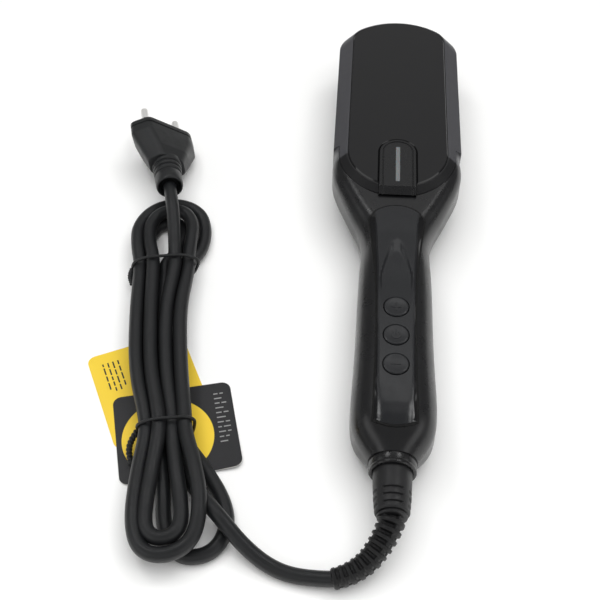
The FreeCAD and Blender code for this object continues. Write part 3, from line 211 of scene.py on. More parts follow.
def tubeRings(spots, around, radiusAt):
    # Rings square to the line; radiusAt takes the share of the way and the angle from the top
    rings = []
    for step, (place, way) in enumerate(spots):
        aside = way.cross(Vector((0, 0, 1))).normalized()
        above = aside.cross(way)
        share = step / (len(spots) - 1)
        ring = []
        for turn in range(around):
            angle = math.tau * turn / around
            outward = above * math.cos(angle) + aside * math.sin(angle)
            ring.append(place + outward * radiusAt(share, angle))
        rings.append(ring)
    return rings


def alongTable(table, value):
    # Straight steps between the entries of a table whose first column falls
    for (high, first), (low, second) in zip(table, table[1:]):
        if value >= low:
            return second + (first - second) * min(1, (value - low) / (high - low))
    return table[-1][1]


def turnedRings(profile, centre, around, dent=None):
    # Rings round a level axis along Y, from pairs of place and radius; dent takes a place and the
    # angle from the top
    rings = []
    for along, radius in profile:
        ring = []
        for step in range(around):
            angle = math.tau * step / around
            reach = radius - (dent(along, angle) if dent else 0)
            ring.append((centre[0] + reach * math.sin(angle), along, centre[1] + reach * math.cos(angle)))
        rings.append(ring)
    return rings


def dress(piece, body, material, slot, *replaced):
    if not piece.data.materials:
        piece.data.materials.append(material)
    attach(piece, body)
    if replaced:
        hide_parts(*replaced)
    return piece


# Camera at the photograph's angle
cameraSet = {"place": (-23.83, -369.0, 409), "down": 50, "turn": 3.6, "lens": 64.8, "sensor": 36}
camera = bpy.data.objects.new("camera", bpy.data.cameras.new("camera"))
camera.data.lens = cameraSet["lens"]
camera.data.sensor_width = cameraSet["sensor"]
camera.location = Vector(cameraSet["place"]) * mm
camera.rotation_euler = Euler(
    (math.radians(90 - cameraSet["down"]), 0, math.radians(cameraSet["turn"])))
bpy.context.scene.collection.objects.link(camera)
bpy.context.scene.camera = camera


# Materials: each is named for the real one and for how its surface was made

def noiseSkin(name, sockets, colours, roughness, noises, depth, band=(0.3, 0.7), stretch=(1, 1, 1)):
    # Three noises in the piece's own coordinates: the first shades between two colours, the second takes
    # the roughness from low to high over its band, the third raises a relief of so many microns
    material, tree, shader = startMaterial(name, sockets)
    place = addNode(tree, "ShaderNodeTexCoord")
    ways = addNode(tree, "ShaderNodeMapping", {"Vector": place.outputs["Object"], "Scale": stretch})
    shade, rub, grain = [
        addNode(tree, "ShaderNodeTexNoise", {"Vector": ways.outputs["Vector"], **noise}).outputs["Fac"]
        for noise in noises]
    tint = addNode(tree, "ShaderNodeMixRGB", {
        "Fac": shade, "Color1": hexColour(colours[0]), "Color2": hexColour(colours[1])})
    tree.links.new(tint.outputs["Color"], shader.inputs["Base Color"])
    spread = addNode(tree, "ShaderNodeMapRange", {
        "Value": rub, "From Min": band[0], "From Max": band[1],
        "To Min": roughness[0], "To Max": roughness[1]})
    tree.links.new(spread.outputs["Result"], shader.inputs["Roughness"])
    if depth:
        bump = addNode(tree, "ShaderNodeBump", {
            "Height": grain, "Strength": 1.0, "Distance": depth * micron})
        tree.links.new(bump.outputs["Normal"], shader.inputs["Normal"])
    return material


def mouldedPlastic(name, dark, light, smooth, rough, grain, depth, ior):
    # Moulded plastics share three scales: slow clouding from the melt's flow, hand rub that lifts the
    # roughness from smooth to rough, and the tool's own grain in millimetres with its depth in microns.
    # Real grain is mostly finer than half a millimetre and is drawn about that coarse, so that it shows
    cloud = {"Scale": perMm(24), "Detail": 3.0, "Roughness": 0.55}
    rub = {"Scale": perMm(7), "Detail": 6.0, "Roughness": 0.68, "Distortion": 0.6}
    tool = {"Scale": perMm(grain), "Detail": 2.0, "Roughness": 0.5}
    return noiseSkin(name, {"IOR": ior}, (dark, light), (smooth, rough), (cloud, rub, tool), depth,
                     (0.34, 0.68))


# ABS from a polished tool: deep black, soft gloss, a faint orange peel and hand rub
glossAbs = mouldedPlastic("abs_moulded_polished_black", "#151516", "#19191a", 0.24, 0.32, 3.2, 1.2, 1.5)
# ABS from a tool polished to a mirror: the panel's facets, which show dark beside its face
mirrorAbs = mouldedPlastic("abs_moulded_mirror_black", "#0f0f10", "#131314", 0.06, 0.12, 3.2, 0.8, 1.5)
# ABS from a finely blasted tool: charcoal black with a soft, even sheen
blastedAbs = mouldedPlastic("abs_moulded_blasted_black", "#17181a", "#1d1e20", 0.2, 0.27, 0.6, 1.2, 1.5)
# Acrylic sheet pressed and polished: mirror-like black with only a trace of haze
polishedAcrylic = mouldedPlastic(
    "acrylic_pressed_polished_black", "#121213", "#151516", 0.07, 0.12, 12, 2, 1.49)
# Satin black ABS of the head: painted dark grey as the reflection of the bright surroundings in its
# sloped band, spreading a highlight broadly, with painted shade toward the handle
paintedReflectionAbs = mouldedPlastic("abs_satin_black_painted_reflection", "#3b3b3e", "#434346", 0.34, 0.44, 0.7, 2, 1.5)


# Line at each side of the head where the painted reflection gives way to painted shade: its slant, and
# the places between which it fades
maskSet = {"slant": 0.4, "start": 50.2, "end": 50.6}


def paintAcrossLine(material, colour, rough, handleSide):
    # A second colour and roughness on one side of that line, which paints shade on the head shell and a
    # reflection on the casing
    tree = material.node_tree
    shader = tree.nodes["Principled BSDF"]
    place = addNode(tree, "ShaderNodeTexCoord")
    axes = addNode(tree, "ShaderNodeSeparateXYZ", {"Vector": place.outputs["Object"]})
    aside = addNode(tree, "ShaderNodeMath", {0: axes.outputs["X"]}, operation="ABSOLUTE")
    slant = addNode(tree, "ShaderNodeMath", {
        0: aside.outputs["Value"], 1: maskSet["slant"], 2: axes.outputs["Y"]}, operation="MULTIPLY_ADD")
    covered = addNode(tree, "ShaderNodeMapRange", {
        "Value": slant.outputs["Value"],
        "From Min": maskSet["start"] * mm, "From Max": maskSet["end"] * mm,
        "To Min": 1.0 if handleSide else 0.0, "To Max": 0.0 if handleSide else 1.0})
    for socket, value in (("Base Color", hexColour(colour)), ("Roughness", (rough, rough, rough, 1))):
        before = shader.inputs[socket].links[0].from_socket
        mix = addNode(tree, "ShaderNodeMixRGB", {
            "Fac": covered.outputs["Result"], "Color1": before, "Color2": value})
        tree.links.new(mix.outputs["Color"], shader.inputs[socket])


# Painted shade: near black on the handle side, where the band turns away from the bright surroundings
paintAcrossLine(paintedReflectionAbs, "#171718", 0.28, True)
# The casing's ABS, with the same painted reflection carried over its sides as far as that line
casingAbs = mouldedPlastic("abs_moulded_part_painted_reflection", "#151516", "#19191a", 0.26, 0.34, 3.2, 1.2, 1.5)
paintAcrossLine(casingAbs, "#3f3f42", 0.39, False)
# Glass-filled nylon from a spark-eroded tool: matte with a fine, even grain
sparkNylon = mouldedPlastic("nylon_moulded_spark_black", "#151516", "#1c1c1d", 0.42, 0.56, 0.5, 12, 1.53)
# Soft PVC of the plug and the ties, moulded: dull black, slightly greasy sheen, coarse skin
softPvc = mouldedPlastic("pvc_moulded_soft_black", "#171819", "#1d1e1f", 0.4, 0.55, 0.8, 10, 1.53)
# The same PVC from a matte tool for the bend relief: deeper black, hardly any sheen
mattePvc = mouldedPlastic("pvc_moulded_matte_black", "#0a0a0b", "#0f0f10", 0.46, 0.58, 0.8, 10, 1.53)
# Painted shade in the seam round the control panel: a dead black strip
seamShade = mouldedPlastic("black_painted_seam_shade", "#070707", "#0a0a0a", 0.6, 0.75, 0.8, 4, 1.45)
# Nylon balls dipped on the pins: dark and waxy
dippedNylon = mouldedPlastic("nylon_dipped_tip_black", "#232325", "#2b2b2d", 0.38, 0.5, 0.6, 5, 1.53)
# PBT of the switches and of the insulating sleeves: plain moulded black
switchPbt = mouldedPlastic("pbt_moulded_black", "#1f1f21", "#2a2a2c", 0.4, 0.5, 0.6, 6, 1.55)
# Alumina heater plates, pressed and fired: chalk white with a dry grain
firedAlumina = mouldedPlastic("alumina_fired_white", "#d9d6cd", "#ece9e1", 0.5, 0.68, 0.4, 14, 1.76)
# Glass-epoxy board under solder mask: green with the weave just showing through
maskedBoard = mouldedPlastic("glass_epoxy_masked_green", "#1d5a34", "#256b40", 0.28, 0.4, 0.9, 10, 1.5)
# Polyimide film, cast and cut: amber, glossy, slightly wavy
amberFilm = mouldedPlastic("polyimide_film_amber", "#8a5a1c", "#a06c24", 0.18, 0.3, 5, 20, 1.7)
# Silicone wire cover, extruded: dull red, dry to the eye
siliconeWire = mouldedPlastic("silicone_extruded_red", "#8e2220", "#a32c28", 0.45, 0.6, 0.8, 6, 1.42)
# White resin of the lamps, moulded: clean and bright with a soft gloss
lampResin = mouldedPlastic("resin_moulded_white", "#dcdcd8", "#efefeb", 0.3, 0.42, 0.8, 4, 1.52)


def drawnMetal(name, dark, light, smooth, rough, spacing, depth, metallic=1.0):
    # Metals carry fine lines along Y, drawn coarser than brushing leaves them, so that they show
    lines = {"Scale": perMm(spacing), "Detail": 4.0, "Roughness": 0.7}
    return noiseSkin(name, {"Metallic": metallic}, (dark, light), (smooth, rough), (lines, lines, lines),
                     depth, stretch=(1, 0.08, 1))


# Brass plug pins, turned then dull nickel plated: pale silver that scatters most of its light
nickelBrass = drawnMetal("brass_turned_dull_nickel", "#dfdedb", "#efeeec", 0.32, 0.46, 0.25, 2, 0.5)
# Steel screws and clamp, zinc plated: greyer, duller
zincSteel = drawnMetal("steel_pressed_zinc_plated", "#8f9294", "#b4b7b9", 0.26, 0.42, 0.35, 4)
# Aluminium comb plate and pins, brushed and anodised dark: graphite with a satin streak
anodisedPlate = drawnMetal(
    "aluminium_brushed_anodised_graphite", "#3a3b3e", "#4c4d51", 0.3, 0.44, 0.35, 3)
# Polycarbonate light bar, moulded frosted: soft grey that passes some light
barHaze = {"Scale": perMm(3), "Detail": 3.0}
frostedBar = noiseSkin(
    "polycarbonate_moulded_frosted",
    {"IOR": 1.58, "Transmission Weight": 0.25, "Subsurface Weight": 0.3, "Subsurface Scale": 0.002},
    ("#6e7071", "#828485"), (0.32, 0.5), (barHaze, barHaze, barHaze), 0, (0, 1))
# PVC cord jacket, extruded: grey-black with a dull, slightly clouded sheen on a fine skin
jacketCloud = {"Scale": perMm(11), "Detail": 5.0, "Roughness": 0.6}
jacketSkin = {"Scale": perMm(0.9), "Detail": 2.0}
cordPvc = noiseSkin("pvc_extruded_cord_black", {"IOR": 1.53}, ("#121315", "#191a1b"), (0.4, 0.54),
                    (jacketCloud, jacketCloud, jacketSkin), 12)


# Coated card, offset printed: even ink over paper fibre, drawn coarser than it is so that it shows
def printedCard(name, dark, light, smooth, rough):
    cloud = {"Scale": perMm(14), "Detail": 4.0}
    fibre = {"Scale": perMm(0.8), "Detail": 4.0, "Distortion": 1.2}
    return noiseSkin(name, {"IOR": 1.5}, (dark, light), (smooth, rough), (cloud, fibre, fibre), 8)


# Yellow print: warm and flat, hardly shiny
yellowCard = printedCard("card_printed_yellow", "#e8c434", "#eecd3b", 0.38, 0.5)
# Black print: a soft charcoal that greys where light grazes it
blackCard = printedCard("card_printed_black", "#1d1d1f", "#252527", 0.36, 0.5)
# Bare core at the cut edge: a thin, dry white line
cardCore = printedCard("card_cut_edge_white", "#dedcd6", "#eeece7", 0.7, 0.85)
# Grey ink of the small strokes: pale on the black
greyInk = printedCard("ink_printed_grey", "#8d8d8c", "#9c9c9b", 0.4, 0.5)
print("stage: materials ready")


# CAD nodes that show as they are take their finish here; pieces made further on replace the others
nodeFinish = {
    casingAbs: ["upper_casing", "lower_casing"],
    paintedReflectionAbs: ["head_shell"],
    sparkNylon: ["head_frame"],
    maskedBoard: ["indicator_board", "control_board"],
    lampResin: ["indicator_lamps"],
    switchPbt: ["push_switches", "plug_pin_sleeves"],
    zincSteel: ["head_screws", "clamp_screws", "board_screws", "casing_screws", "heater_clamp",
                "temperature_sensor", "thermal_fuse"],
    anodisedPlate: ["comb_plate", "heated_pins"],
    dippedNylon: ["pin_tips"],
    firedAlumina: ["heating_elements"],
    amberFilm: ["insulating_sheet"],
    siliconeWire: ["mains_leads", "heater_leads"],
    nickelBrass: ["plug_pins"],
}
for material, names in nodeFinish.items():
    for name in names:
        nodes[name].data.materials.clear()
        nodes[name].data.materials.append(material)
print("stage: CAD nodes finished")


# Cord: from the bend relief over the floor into the hank, back and forth, and out to the plug
cordSet = {
    "radius": 3.3, "length": 1456, "exit": (-23, -176.3, 5.6),
    "resolution": 10, "roundness": 6,
    "hankCentre": (-104.8, -71), "hankTurn": 8.2,
    # Places of the ties along the hank, how far each side of them the strands stay straight, and halfway
    "upperTie": 54.5, "lowerTie": -41, "upperHold": 4, "lowerHold": 5, "middle": (-10, 25),
    "free": [
        (-21.5, -176.2, 5.9), (-34.8, -175.7, 3.6), (-48, -172.0, 3.5), (-60, -164.6, 7.2),
        (-71, -154.2, 12.6), (-80, -143.4, 9.6), (-88, -132, 4.6)],
    "lead": [(-111.6, 9.8, 18.9), (-113.9, 19.6, 21.0), (-116.2, 29.2, 19.8)],
}
# Strands: how far aside each lies at the lower tie, halfway and at the upper tie, then its heights there
strandSet = {
    "topLeft": (-8.6, -13.8, -12.6, 11.7, 12.2, 10.4), "topMidLeft": (-2.7, -7, -5.9, 13.8, 13.2, 13),
    "topMidRight": (2.9, 0, 4.9, 12.2, 12.3, 13.4), "topRight": (8.5, 6.9, 11.4, 13.9, 12.9, 11),
    "lowLeft": (-3.8, -10, -8.6, 5.9, 6.2, 6), "lowMiddle": (2.2, -3.4, -0.8, 5.8, 6, 6.2),
    "lowRight": (7.4, 3.2, 8, 6.1, 6.1, 5.8),
}
# Loops past the ties from the plug's end: strand that enters, then aside, along and height of its points
nearLoops = [
    ("topMidRight", [(4.2, -62, 12.8), (6.2, -78, 12.4), (6.5, -90, 12.2), (2, -95.3, 12.1),
                     (-4.6, -95.5, 12), (-8.9, -90.4, 12), (-8.4, -79, 12), (-5.4, -61.5, 12.8)]),
    ("topRight", [(12.6, -64, 15.8), (14.8, -82.5, 15.2), (11.2, -98, 12.4), (0, -103.6, 11.4),
                  (-11, -100, 11.2), (-14.3, -85.8, 11.2), (-12, -64, 11.4)]),
    ("lowRight", [(15, -58, 5), (23.8, -74.5, 3.7), (25.4, -88, 3.6), (18.6, -100, 3.6), (4.6, -101, 3.6),
                  (-1.7, -88, 4.1), (-1.3, -68, 7.4)]),
]
farLoops = [
    ("topMidLeft", [(-8, 70, 11.8), (-8, 83, 10.9), (-2, 91.5, 10.8), (9, 92, 10.8), (14.2, 83, 10.8),
                    (12.8, 69, 11)]),
    ("topLeft", [(-14.2, 69, 10.8), (-14.2, 82.8, 10), (-6.4, 95.8, 8.6), (6, 100.8, 6.8),
                 (17.8, 95.2, 5.2), (20.5, 82, 4), (17.2, 66, 4.6)]),
    ("lowLeft", [(-9.4, 70, 4.4), (-8.6, 81.5, 3.6), (-3, 89.8, 3.5), (6.2, 89.8, 3.5), (10.4, 81.6, 3.6),
                 (4.6, 67, 4.6)]),
]
hankFrame = Matrix.Translation((*cordSet["hankCentre"], 0)) @ turnMatrix(cordSet["hankTurn"], "Z")


def strandPoints(strand, upward):
    # Two points astride each tie keep a strand straight where it is held, and it bows between them
    lowAside, midAside, highAside, lowHeight, midHeight, highHeight = strandSet[strand]
    lowTie, lowHold = cordSet["lowerTie"], cordSet["lowerHold"]
    highTie, highHold = cordSet["upperTie"], cordSet["upperHold"]
    points = [(lowAside, along, lowHeight) for along in (lowTie - lowHold, lowTie + lowHold)]
    points += [(midAside, along, midHeight) for along in cordSet["middle"]]
    points += [(highAside, along, highHeight) for along in (highTie - highHold, highTie + highHold)]
    return points if upward else points[::-1]


def cordRoute():
    hank = []
    for near, far in zip(nearLoops, farLoops):
        hank += strandPoints(near[0], False) + near[1]
        hank += strandPoints(far[0], True) + far[1]
    hank += strandPoints("lowMiddle", False)
    hankPoints = [hankFrame @ Vector(point) for point in reversed(hank)]
    return cordSet["free"] + hankPoints + cordSet["lead"]


mainsCord = splineObject(
    "mains_cord", [cordRoute()], cordSet["radius"], cordSet["resolution"], cordSet["roundness"])
dress(mainsCord, "cord_set", cordPvc, "black_cord", "cord_free", "cord_hank", "cord_plug_lead")
print("stage: cord laid")


# Head cover: a polished plate with a round-topped notch for the bezel and a chamfered rim
coverSet = {
    "low": 36.9, "top": 38.5, "side": 25.35, "nearCentre": 43, "corner": 12.404, "endRadius": 34.12,
    "endCentre": 116.33, "notchHalf": 9.45, "notchSpring": 41.7, "edge": 0.6,
    "nearSteps": 24, "cornerSteps": 14, "endSteps": 30, "notchSteps": 28,
}


def coverOutline(inset):
    side = coverSet["side"] - inset
    corner = coverSet["corner"] - inset
    endRadius = coverSet["endRadius"] - inset
    notchHalf = coverSet["notchHalf"] + inset
    cornerX = side - corner
    cornerRise = math.sqrt((endRadius - corner) ** 2 - cornerX ** 2)
    cornerY = coverSet["endCentre"] + cornerRise
    turn = math.degrees(math.atan2(cornerRise, cornerX))
    mouth = math.degrees(math.acos(notchHalf / side))
    near, far = (0, coverSet["nearCentre"]), (0, coverSet["endCentre"])
    cornerSteps = coverSet["cornerSteps"]
    points = arcPoints(near, side, -mouth, 0, coverSet["nearSteps"])
    points += arcPoints((cornerX, cornerY), corner, 0, turn, cornerSteps)
    points += arcPoints(far, endRadius, turn, 180 - turn, coverSet["endSteps"])[1:]
    points += arcPoints((-cornerX, cornerY), corner, 180 - turn, 180, cornerSteps)[1:]
    points += arcPoints(near, side, 180, 180 + mouth, coverSet["nearSteps"])
    points += arcPoints((0, coverSet["notchSpring"]), notchHalf, 180, 0, coverSet["notchSteps"])
    return points


# Inset and height of each ring
coverSteps = [(0, coverSet["low"]), (0, coverSet["top"] - coverSet["edge"]),
              (coverSet["edge"], coverSet["top"])]
coverShape = ringShape([[(x, y, level) for x, y in coverOutline(inset)] for inset, level in coverSteps])
dress(evenNormals(keepMesh("cover_plate", coverShape)), "brush", polishedAcrylic, "gloss_black_cover",
      "head_cover")


# Bezel: a raised arch with a step line inside its edge and a facet at the near end
bezelSet = {
    "half": 9.3, "spring": 41.7, "top": 39, "low": 35, "near": 13.3, "nearTop": 36.6, "facet": 17.2,
    "rows": (13.3, 16.9, 17.5), "archSteps": 32, "sharp": 24,
    # Inset from the arch, and depth below the top
    "section": [(0, 4), (0, 0.7), (0.12, 0.34), (0.34, 0.12), (0.7, 0), (1.45, 0), (1.57, 0.1),
                (1.7, 0.4), (2.0, 0.4), (2.12, 0.24), (2.3, 0.14)],
}


def bezelPath(inset):
    half = bezelSet["half"] - inset
    right = [(half, along) for along in bezelSet["rows"]]
    arch = arcPoints((0, bezelSet["spring"]), half, 0, 180, bezelSet["archSteps"])
    return right + arch + [(-x, y) for x, y in reversed(right)]


def bezelPiece():
    shape = bmesh.new()
    facet = [(bezelSet["facet"], bezelSet["top"]), (bezelSet["near"], bezelSet["nearTop"])]
    rows = []
    for inset, drop in bezelSet["section"]:
        row = []
        for x, y in bezelPath(inset):
            level = max(bezelSet["low"], alongTable(facet, y) - drop)
            row.append(shape.verts.new(Vector((x, y, level)) * mm))
        rows.append(row)
    skinRows(shape, rows)
    inner = rows[-1]
    for index in range(len(bezelSet["rows"]) - 1):
        shape.faces.new((inner[index], inner[index + 1], inner[-2 - index], inner[-1 - index]))
    shape.faces.new(inner[len(bezelSet["rows"]) - 1:1 - len(bezelSet["rows"])])
    bmesh.ops.remove_doubles(shape, verts=shape.verts, dist=weld)
    bmesh.ops.holes_fill(shape, edges=openEdges(shape))
    return shape


dress(evenNormals(keepMesh("bezel_arch", bezelPiece(), bezelSet["sharp"])), "brush", glossAbs,
      "gloss_black_cover", "indicator_bezel")


# Light bar: a narrow frosted strip that stands a little proud of the bezel
barSet = {"half": 1.1, "near": 20.3, "far": 45.3, "low": 32.4, "top": 39, "corner": 0.5, "cornerSteps": 4,
          "edge": 0.22, "edgeSteps": 3}
barOutline = []
for aside, along, turn in ((1, "far", 0), (-1, "far", 90), (-1, "near", 180), (1, "near", 270)):
    inward = -barSet["corner"] if along == "far" else barSet["corner"]
    barCentre = (aside * (barSet["half"] - barSet["corner"]), barSet[along] + inward)
    barOutline += arcPoints(barCentre, barSet["corner"], turn, turn + 90, barSet["cornerSteps"])
barShape = ringShape(levelRings(barOutline, (barSet["low"], barSet["top"])))
easeRim(barShape, barSet["top"], barSet["edge"], barSet["edgeSteps"])
dress(evenNormals(keepMesh("light_strip", barShape)), "brush", frostedBar, "clear_light_bar",
      "indicator_light_bar")


# Control panel: a flat face between two long facets, cut to an arch and a bow, with a scoop for the thumb
panelSet = {
    "archCentre": -8.28, "archRadius": 15.78, "upper": -1.0, "waist": -65.1, "waistHalf": 9.2,
    "upperGain": 4.8, "lower": -116.7, "lowerGain": 0.65, "bowCentre": -99.3, "bowRadius": 20,
    # Half width of the flat face and its height, from the arch down
    "face": [(8, 10.5), (0, 10.05), (-19, 9.15), (-31, 8.5), (-53, 8.0), (-75, 7.7), (-95, 7.5),
             (-120, 7.1)],
    "height": [(8, 35.36), (0, 35), (-10, 34.58), (-19, 34.5), (-45, 34.52), (-65, 34.42), (-100, 34.26),
               (-108, 34.06), (-114, 33.6), (-120, 32.5)],
    # Mesh rows: angles on the arch, even rows that stop short of the bow, angles on the bow
    "archAngles": (*range(90, 33, -4), 30.5), "rows": 112, "rowsStop": 1,
    "bowAngles": (61, 63, 65.5, 68, 70.5, 73, 75.5, 78, 80.5, 83, 86, 88.5, 90), "columns": 24,
    # Edge: how it lies to the CAD panel or the casing, its lip and seam, and the black strip painted as
    # its shade
    "edgeDrop": 0.3, "overCasing": 0.2, "lip": 0.25, "seam": 0.5, "shadeReach": 0.65, "shadeDrop": 0.1,
    "skirt": 2.6,
    # Facets: width over which they come in, least width, and the turn out of and into the face
    "facetBlend": 1.2, "facetLeast": 0.8, "turnOut": 0.45, "turnIn": 0.25,
    # Where the CAD is probed from above: inset from the edge, limits along, height
    "probeInset": 0.15, "probeNear": -118.9, "probeFar": 7.1, "probeHeight": 60,
    # Scoop's outer and inner arch: start, run and width
    "scoopDepth": 0.8, "scoopOuter": (-14.3, 24, 7.4), "scoopInner": (-21.8, 12, 6.25),
    "scoopFade": (-57, -36), "scoopLeast": 0.3, "scoopSide": (1.5, 0.6),
    "crown": 0.5, "crownPower": 5, "crownFade": (-116, -90),
    "hole": 6.0, "holeAround": 48, "holeLevels": (20, 45), "rowWeld": 0.02, "cutWeld": 0.004, "sharp": 24,
}
buttonSet = {
    "places": {"plus_button": -56.6, "power_button": -72.6, "minus_button": -88.6},
    # Turned section from the stem up: radius and height
    "section": [(1.7, 25.7), (1.7, 29.6), (7, 29.6), (7, 30.6), (5.6, 30.6), (5.6, 34.5), (5.54, 34.68),
                (5.38, 34.83), (5.15, 34.9), (4.7, 34.88), (3.6, 34.78), (2, 34.7), (0.6, 34.68)],
    "around": 64,
    # Marks: heights, half size and half stroke; then the power mark's ring and bar, by shares of these
    "markLevels": (34.4, 34.88), "markHalf": 2.3, "stroke": 0.42,
    "ringArc": (125, 415), "ringSteps": 30, "ringThick": 1.7,
    "barRise": 0.62, "barHalf": 0.55, "barThin": 0.8,
}


def panelHalf(along):
    if along > panelSet["upper"]:
        return math.sqrt(max(0, panelSet["archRadius"] ** 2 - (along - panelSet["archCentre"]) ** 2))
    if along < panelSet["lower"]:
        return math.sqrt(max(0, panelSet["bowRadius"] ** 2 - (along - panelSet["bowCentre"]) ** 2))
    upward = along > panelSet["waist"]
    end, gain = ("upper", "upperGain") if upward else ("lower", "lowerGain")
    share = (along - panelSet["waist"]) / (panelSet[end] - panelSet["waist"])
    return panelSet["waistHalf"] + panelSet[gain] * share ** 2


def panelEdge(along, depth):
    # Point this deep inside the outline, square to it
    half = panelHalf(along)
    outward = (1, 0)
    if along > panelSet["upper"]:
        radius = panelSet["archRadius"]
        outward = (half / radius, (along - panelSet["archCentre"]) / radius)
    if along < panelSet["lower"]:
        radius = panelSet["bowRadius"]
        outward = (half / radius, (along - panelSet["bowCentre"]) / radius)
    return max(0, half - depth * outward[0]), along - depth * outward[1]


def scoopAt(aside, along, faceHalf):
    # Depth of the thumb scoop: a long slope under its arch, steep at the sides, fading toward the buttons
    start, run, width = panelSet["scoopOuter"]
    outer = start - run * (aside / width) ** 2
    start, run, width = panelSet["scoopInner"]
    inner = start - run * (aside / width) ** 2
    share = min(1, max(0, (outer - along) / max(panelSet["scoopLeast"], outer - inner)))
    wide, narrow = panelSet["scoopSide"]
    beside = 1 - smoothStep(abs(aside), faceHalf - wide, faceHalf - narrow)
    return panelSet["scoopDepth"] * share * beside * smoothStep(along, *panelSet["scoopFade"])


def crownAt(aside, along, faceHalf):
    # How far the face rounds off toward its long edges, more and more toward the lower end
    reach = min(1, abs(aside) / faceHalf)
    fade = 1 - smoothStep(along, *panelSet["crownFade"])
    return panelSet["crown"] * reach ** panelSet["crownPower"] * fade


def panelRows():
    rows = [panelSet["archCentre"] + panelSet["archRadius"] * math.sin(math.radians(angle))
            for angle in panelSet["archAngles"]]
    span = panelSet["upper"] - panelSet["lower"] - panelSet["rowsStop"]
    rows += [panelSet["upper"] - span * step / panelSet["rows"] for step in range(panelSet["rows"] + 1)]
    rows += [panelSet["bowCentre"] - panelSet["bowRadius"] * math.sin(math.radians(angle))
             for angle in panelSet["bowAngles"]]
    return rows


def nodeTree(name):
    corners = [nodes[name].matrix_world @ vert.co for vert in nodes[name].data.vertices]
    return BVHTree.FromPolygons(corners, [list(face.vertices) for face in nodes[name].data.polygons])


def panelPiece():
    # The outer edge follows the CAD panel's own edge, and the casing where it reaches past that
    panelTree = nodeTree("control_panel")
    casingTree = nodeTree("upper_casing")
    down = Vector((0, 0, -1))
    # The outer strips and the skirt take near black, painted in as the shade in the seam round the panel
    finishes = (blastedAbs, mirrorAbs, seamShade)
    faceFinish, facetFinish, shadeFinish = range(len(finishes))
    stripFinish = (shadeFinish, shadeFinish, facetFinish)  # from the edge inward, then all is face
    shape = bmesh.new()
    grid = []
    for station in panelRows():
        shadeReach = panelEdge(station, panelSet["seam"] - panelSet["shadeReach"])
        rim = panelEdge(station, panelSet["seam"])
        half, along = panelEdge(station, panelSet["seam"] + panelSet["lip"])
        faceHalf = alongTable(panelSet["face"], along)
        level = alongTable(panelSet["height"], along)
        probed = min(panelSet["probeFar"], max(panelSet["probeNear"], along))
        probe = Vector((max(0, half - panelSet["probeInset"]), probed, panelSet["probeHeight"])) * mm
        spot = panelTree.ray_cast(probe, down)[0]
        if spot:
            cadEdge = spot.z / mm - panelSet["edgeDrop"]
        else:
            casingSpot = casingTree.ray_cast(probe, down)[0]
            cadEdge = casingSpot.z / mm + panelSet["lip"] + panelSet["overCasing"]
        edge = level + (cadEdge - level) * smoothStep(half - faceHalf, 0, panelSet["facetBlend"])
        slope = (level - edge) / max(panelSet["facetLeast"], half - faceHalf)
        lipLevel = edge - panelSet["lip"]
        right = [(*shadeReach, lipLevel - panelSet["shadeDrop"]), (*rim, lipLevel), (half, along, edge)]
        turn = min(half, faceHalf + panelSet["turnOut"])
        drop = slope * max(0, turn - faceHalf) + crownAt(turn, along, faceHalf)
        right.append((turn, along, level - drop))
        inside = min(half, faceHalf - panelSet["turnIn"])
        for step in range(panelSet["columns"] // 2):
            aside = inside * (1 - 2 * step / panelSet["columns"])
            drop = scoopAt(aside, along, faceHalf) + crownAt(aside, along, faceHalf)
            right.append((aside, along, level - drop))
        middle = [(0, along, level - scoopAt(0, along, faceHalf))]
        line = right + middle + [(-aside, place, height) for aside, place, height in reversed(right)]
        grid.append([shape.verts.new(Vector(point) * mm) for point in line])
    strips = len(grid[0]) - 1
    for index, face in enumerate(skinRows(shape, grid)):
        depth = min(index % strips, strips - 1 - index % strips)
        face.material_index = stripFinish[depth] if depth < len(stripFinish) else faceFinish
    bmesh.ops.remove_doubles(shape, verts=shape.verts, dist=panelSet["rowWeld"] * mm)
    for part in bmesh.ops.extrude_edge_only(shape, edges=openEdges(shape))["geom"]:
        if isinstance(part, bmesh.types.BMVert):
            part.co.z -= panelSet["skirt"] * mm
        if isinstance(part, bmesh.types.BMFace):
            part.material_index = shadeFinish
    bmesh.ops.holes_fill(shape, edges=openEdges(shape))
    return keepMesh("panel_blank", shape, finishes=finishes)


def bored(blank, name, bores, sharpAngle):
    # Cuts upright round holes, given as place and radius, and keeps the result as a new piece
    cutters = []
    for (aside, along), radius in bores:
        circle = circlePoints((aside, along), radius, panelSet["holeAround"])
        cutter = keepMesh("bore", ringShape(levelRings(circle, panelSet["holeLevels"])))
        cut = blank.modifiers.new("bore", "BOOLEAN")
        cut.object = cutter
        cut.solver = "EXACT"
        cutters.append(cutter)
    mesh = bpy.data.meshes.new_from_object(blank.evaluated_get(bpy.context.evaluated_depsgraph_get()))
    finishes = list(blank.data.materials)
    shape = bmesh.new()
    shape.from_mesh(mesh)
    bmesh.ops.dissolve_degenerate(shape, dist=panelSet["cutWeld"] * mm, edges=shape.edges)
    for spare in cutters + [blank]:
        bpy.data.objects.remove(spare)
    bpy.data.meshes.remove(mesh)
    return keepMesh(name, shape, sharpAngle, finishes)


panelBores = [((0, along), panelSet["hole"]) for along in buttonSet["places"].values()]
dress(bored(panelPiece(), "panel_face", panelBores, panelSet["sharp"]), "brush", blastedAbs,
      "gloss_black_cover", "control_panel")


# Buttons: turned caps with a dished top, a retaining flange, a stem and a raised mark
def barMark(halfLong, halfWide):
    return [(halfLong, -halfWide), (halfLong, halfWide), (-halfLong, halfWide), (-halfLong, -halfWide)]


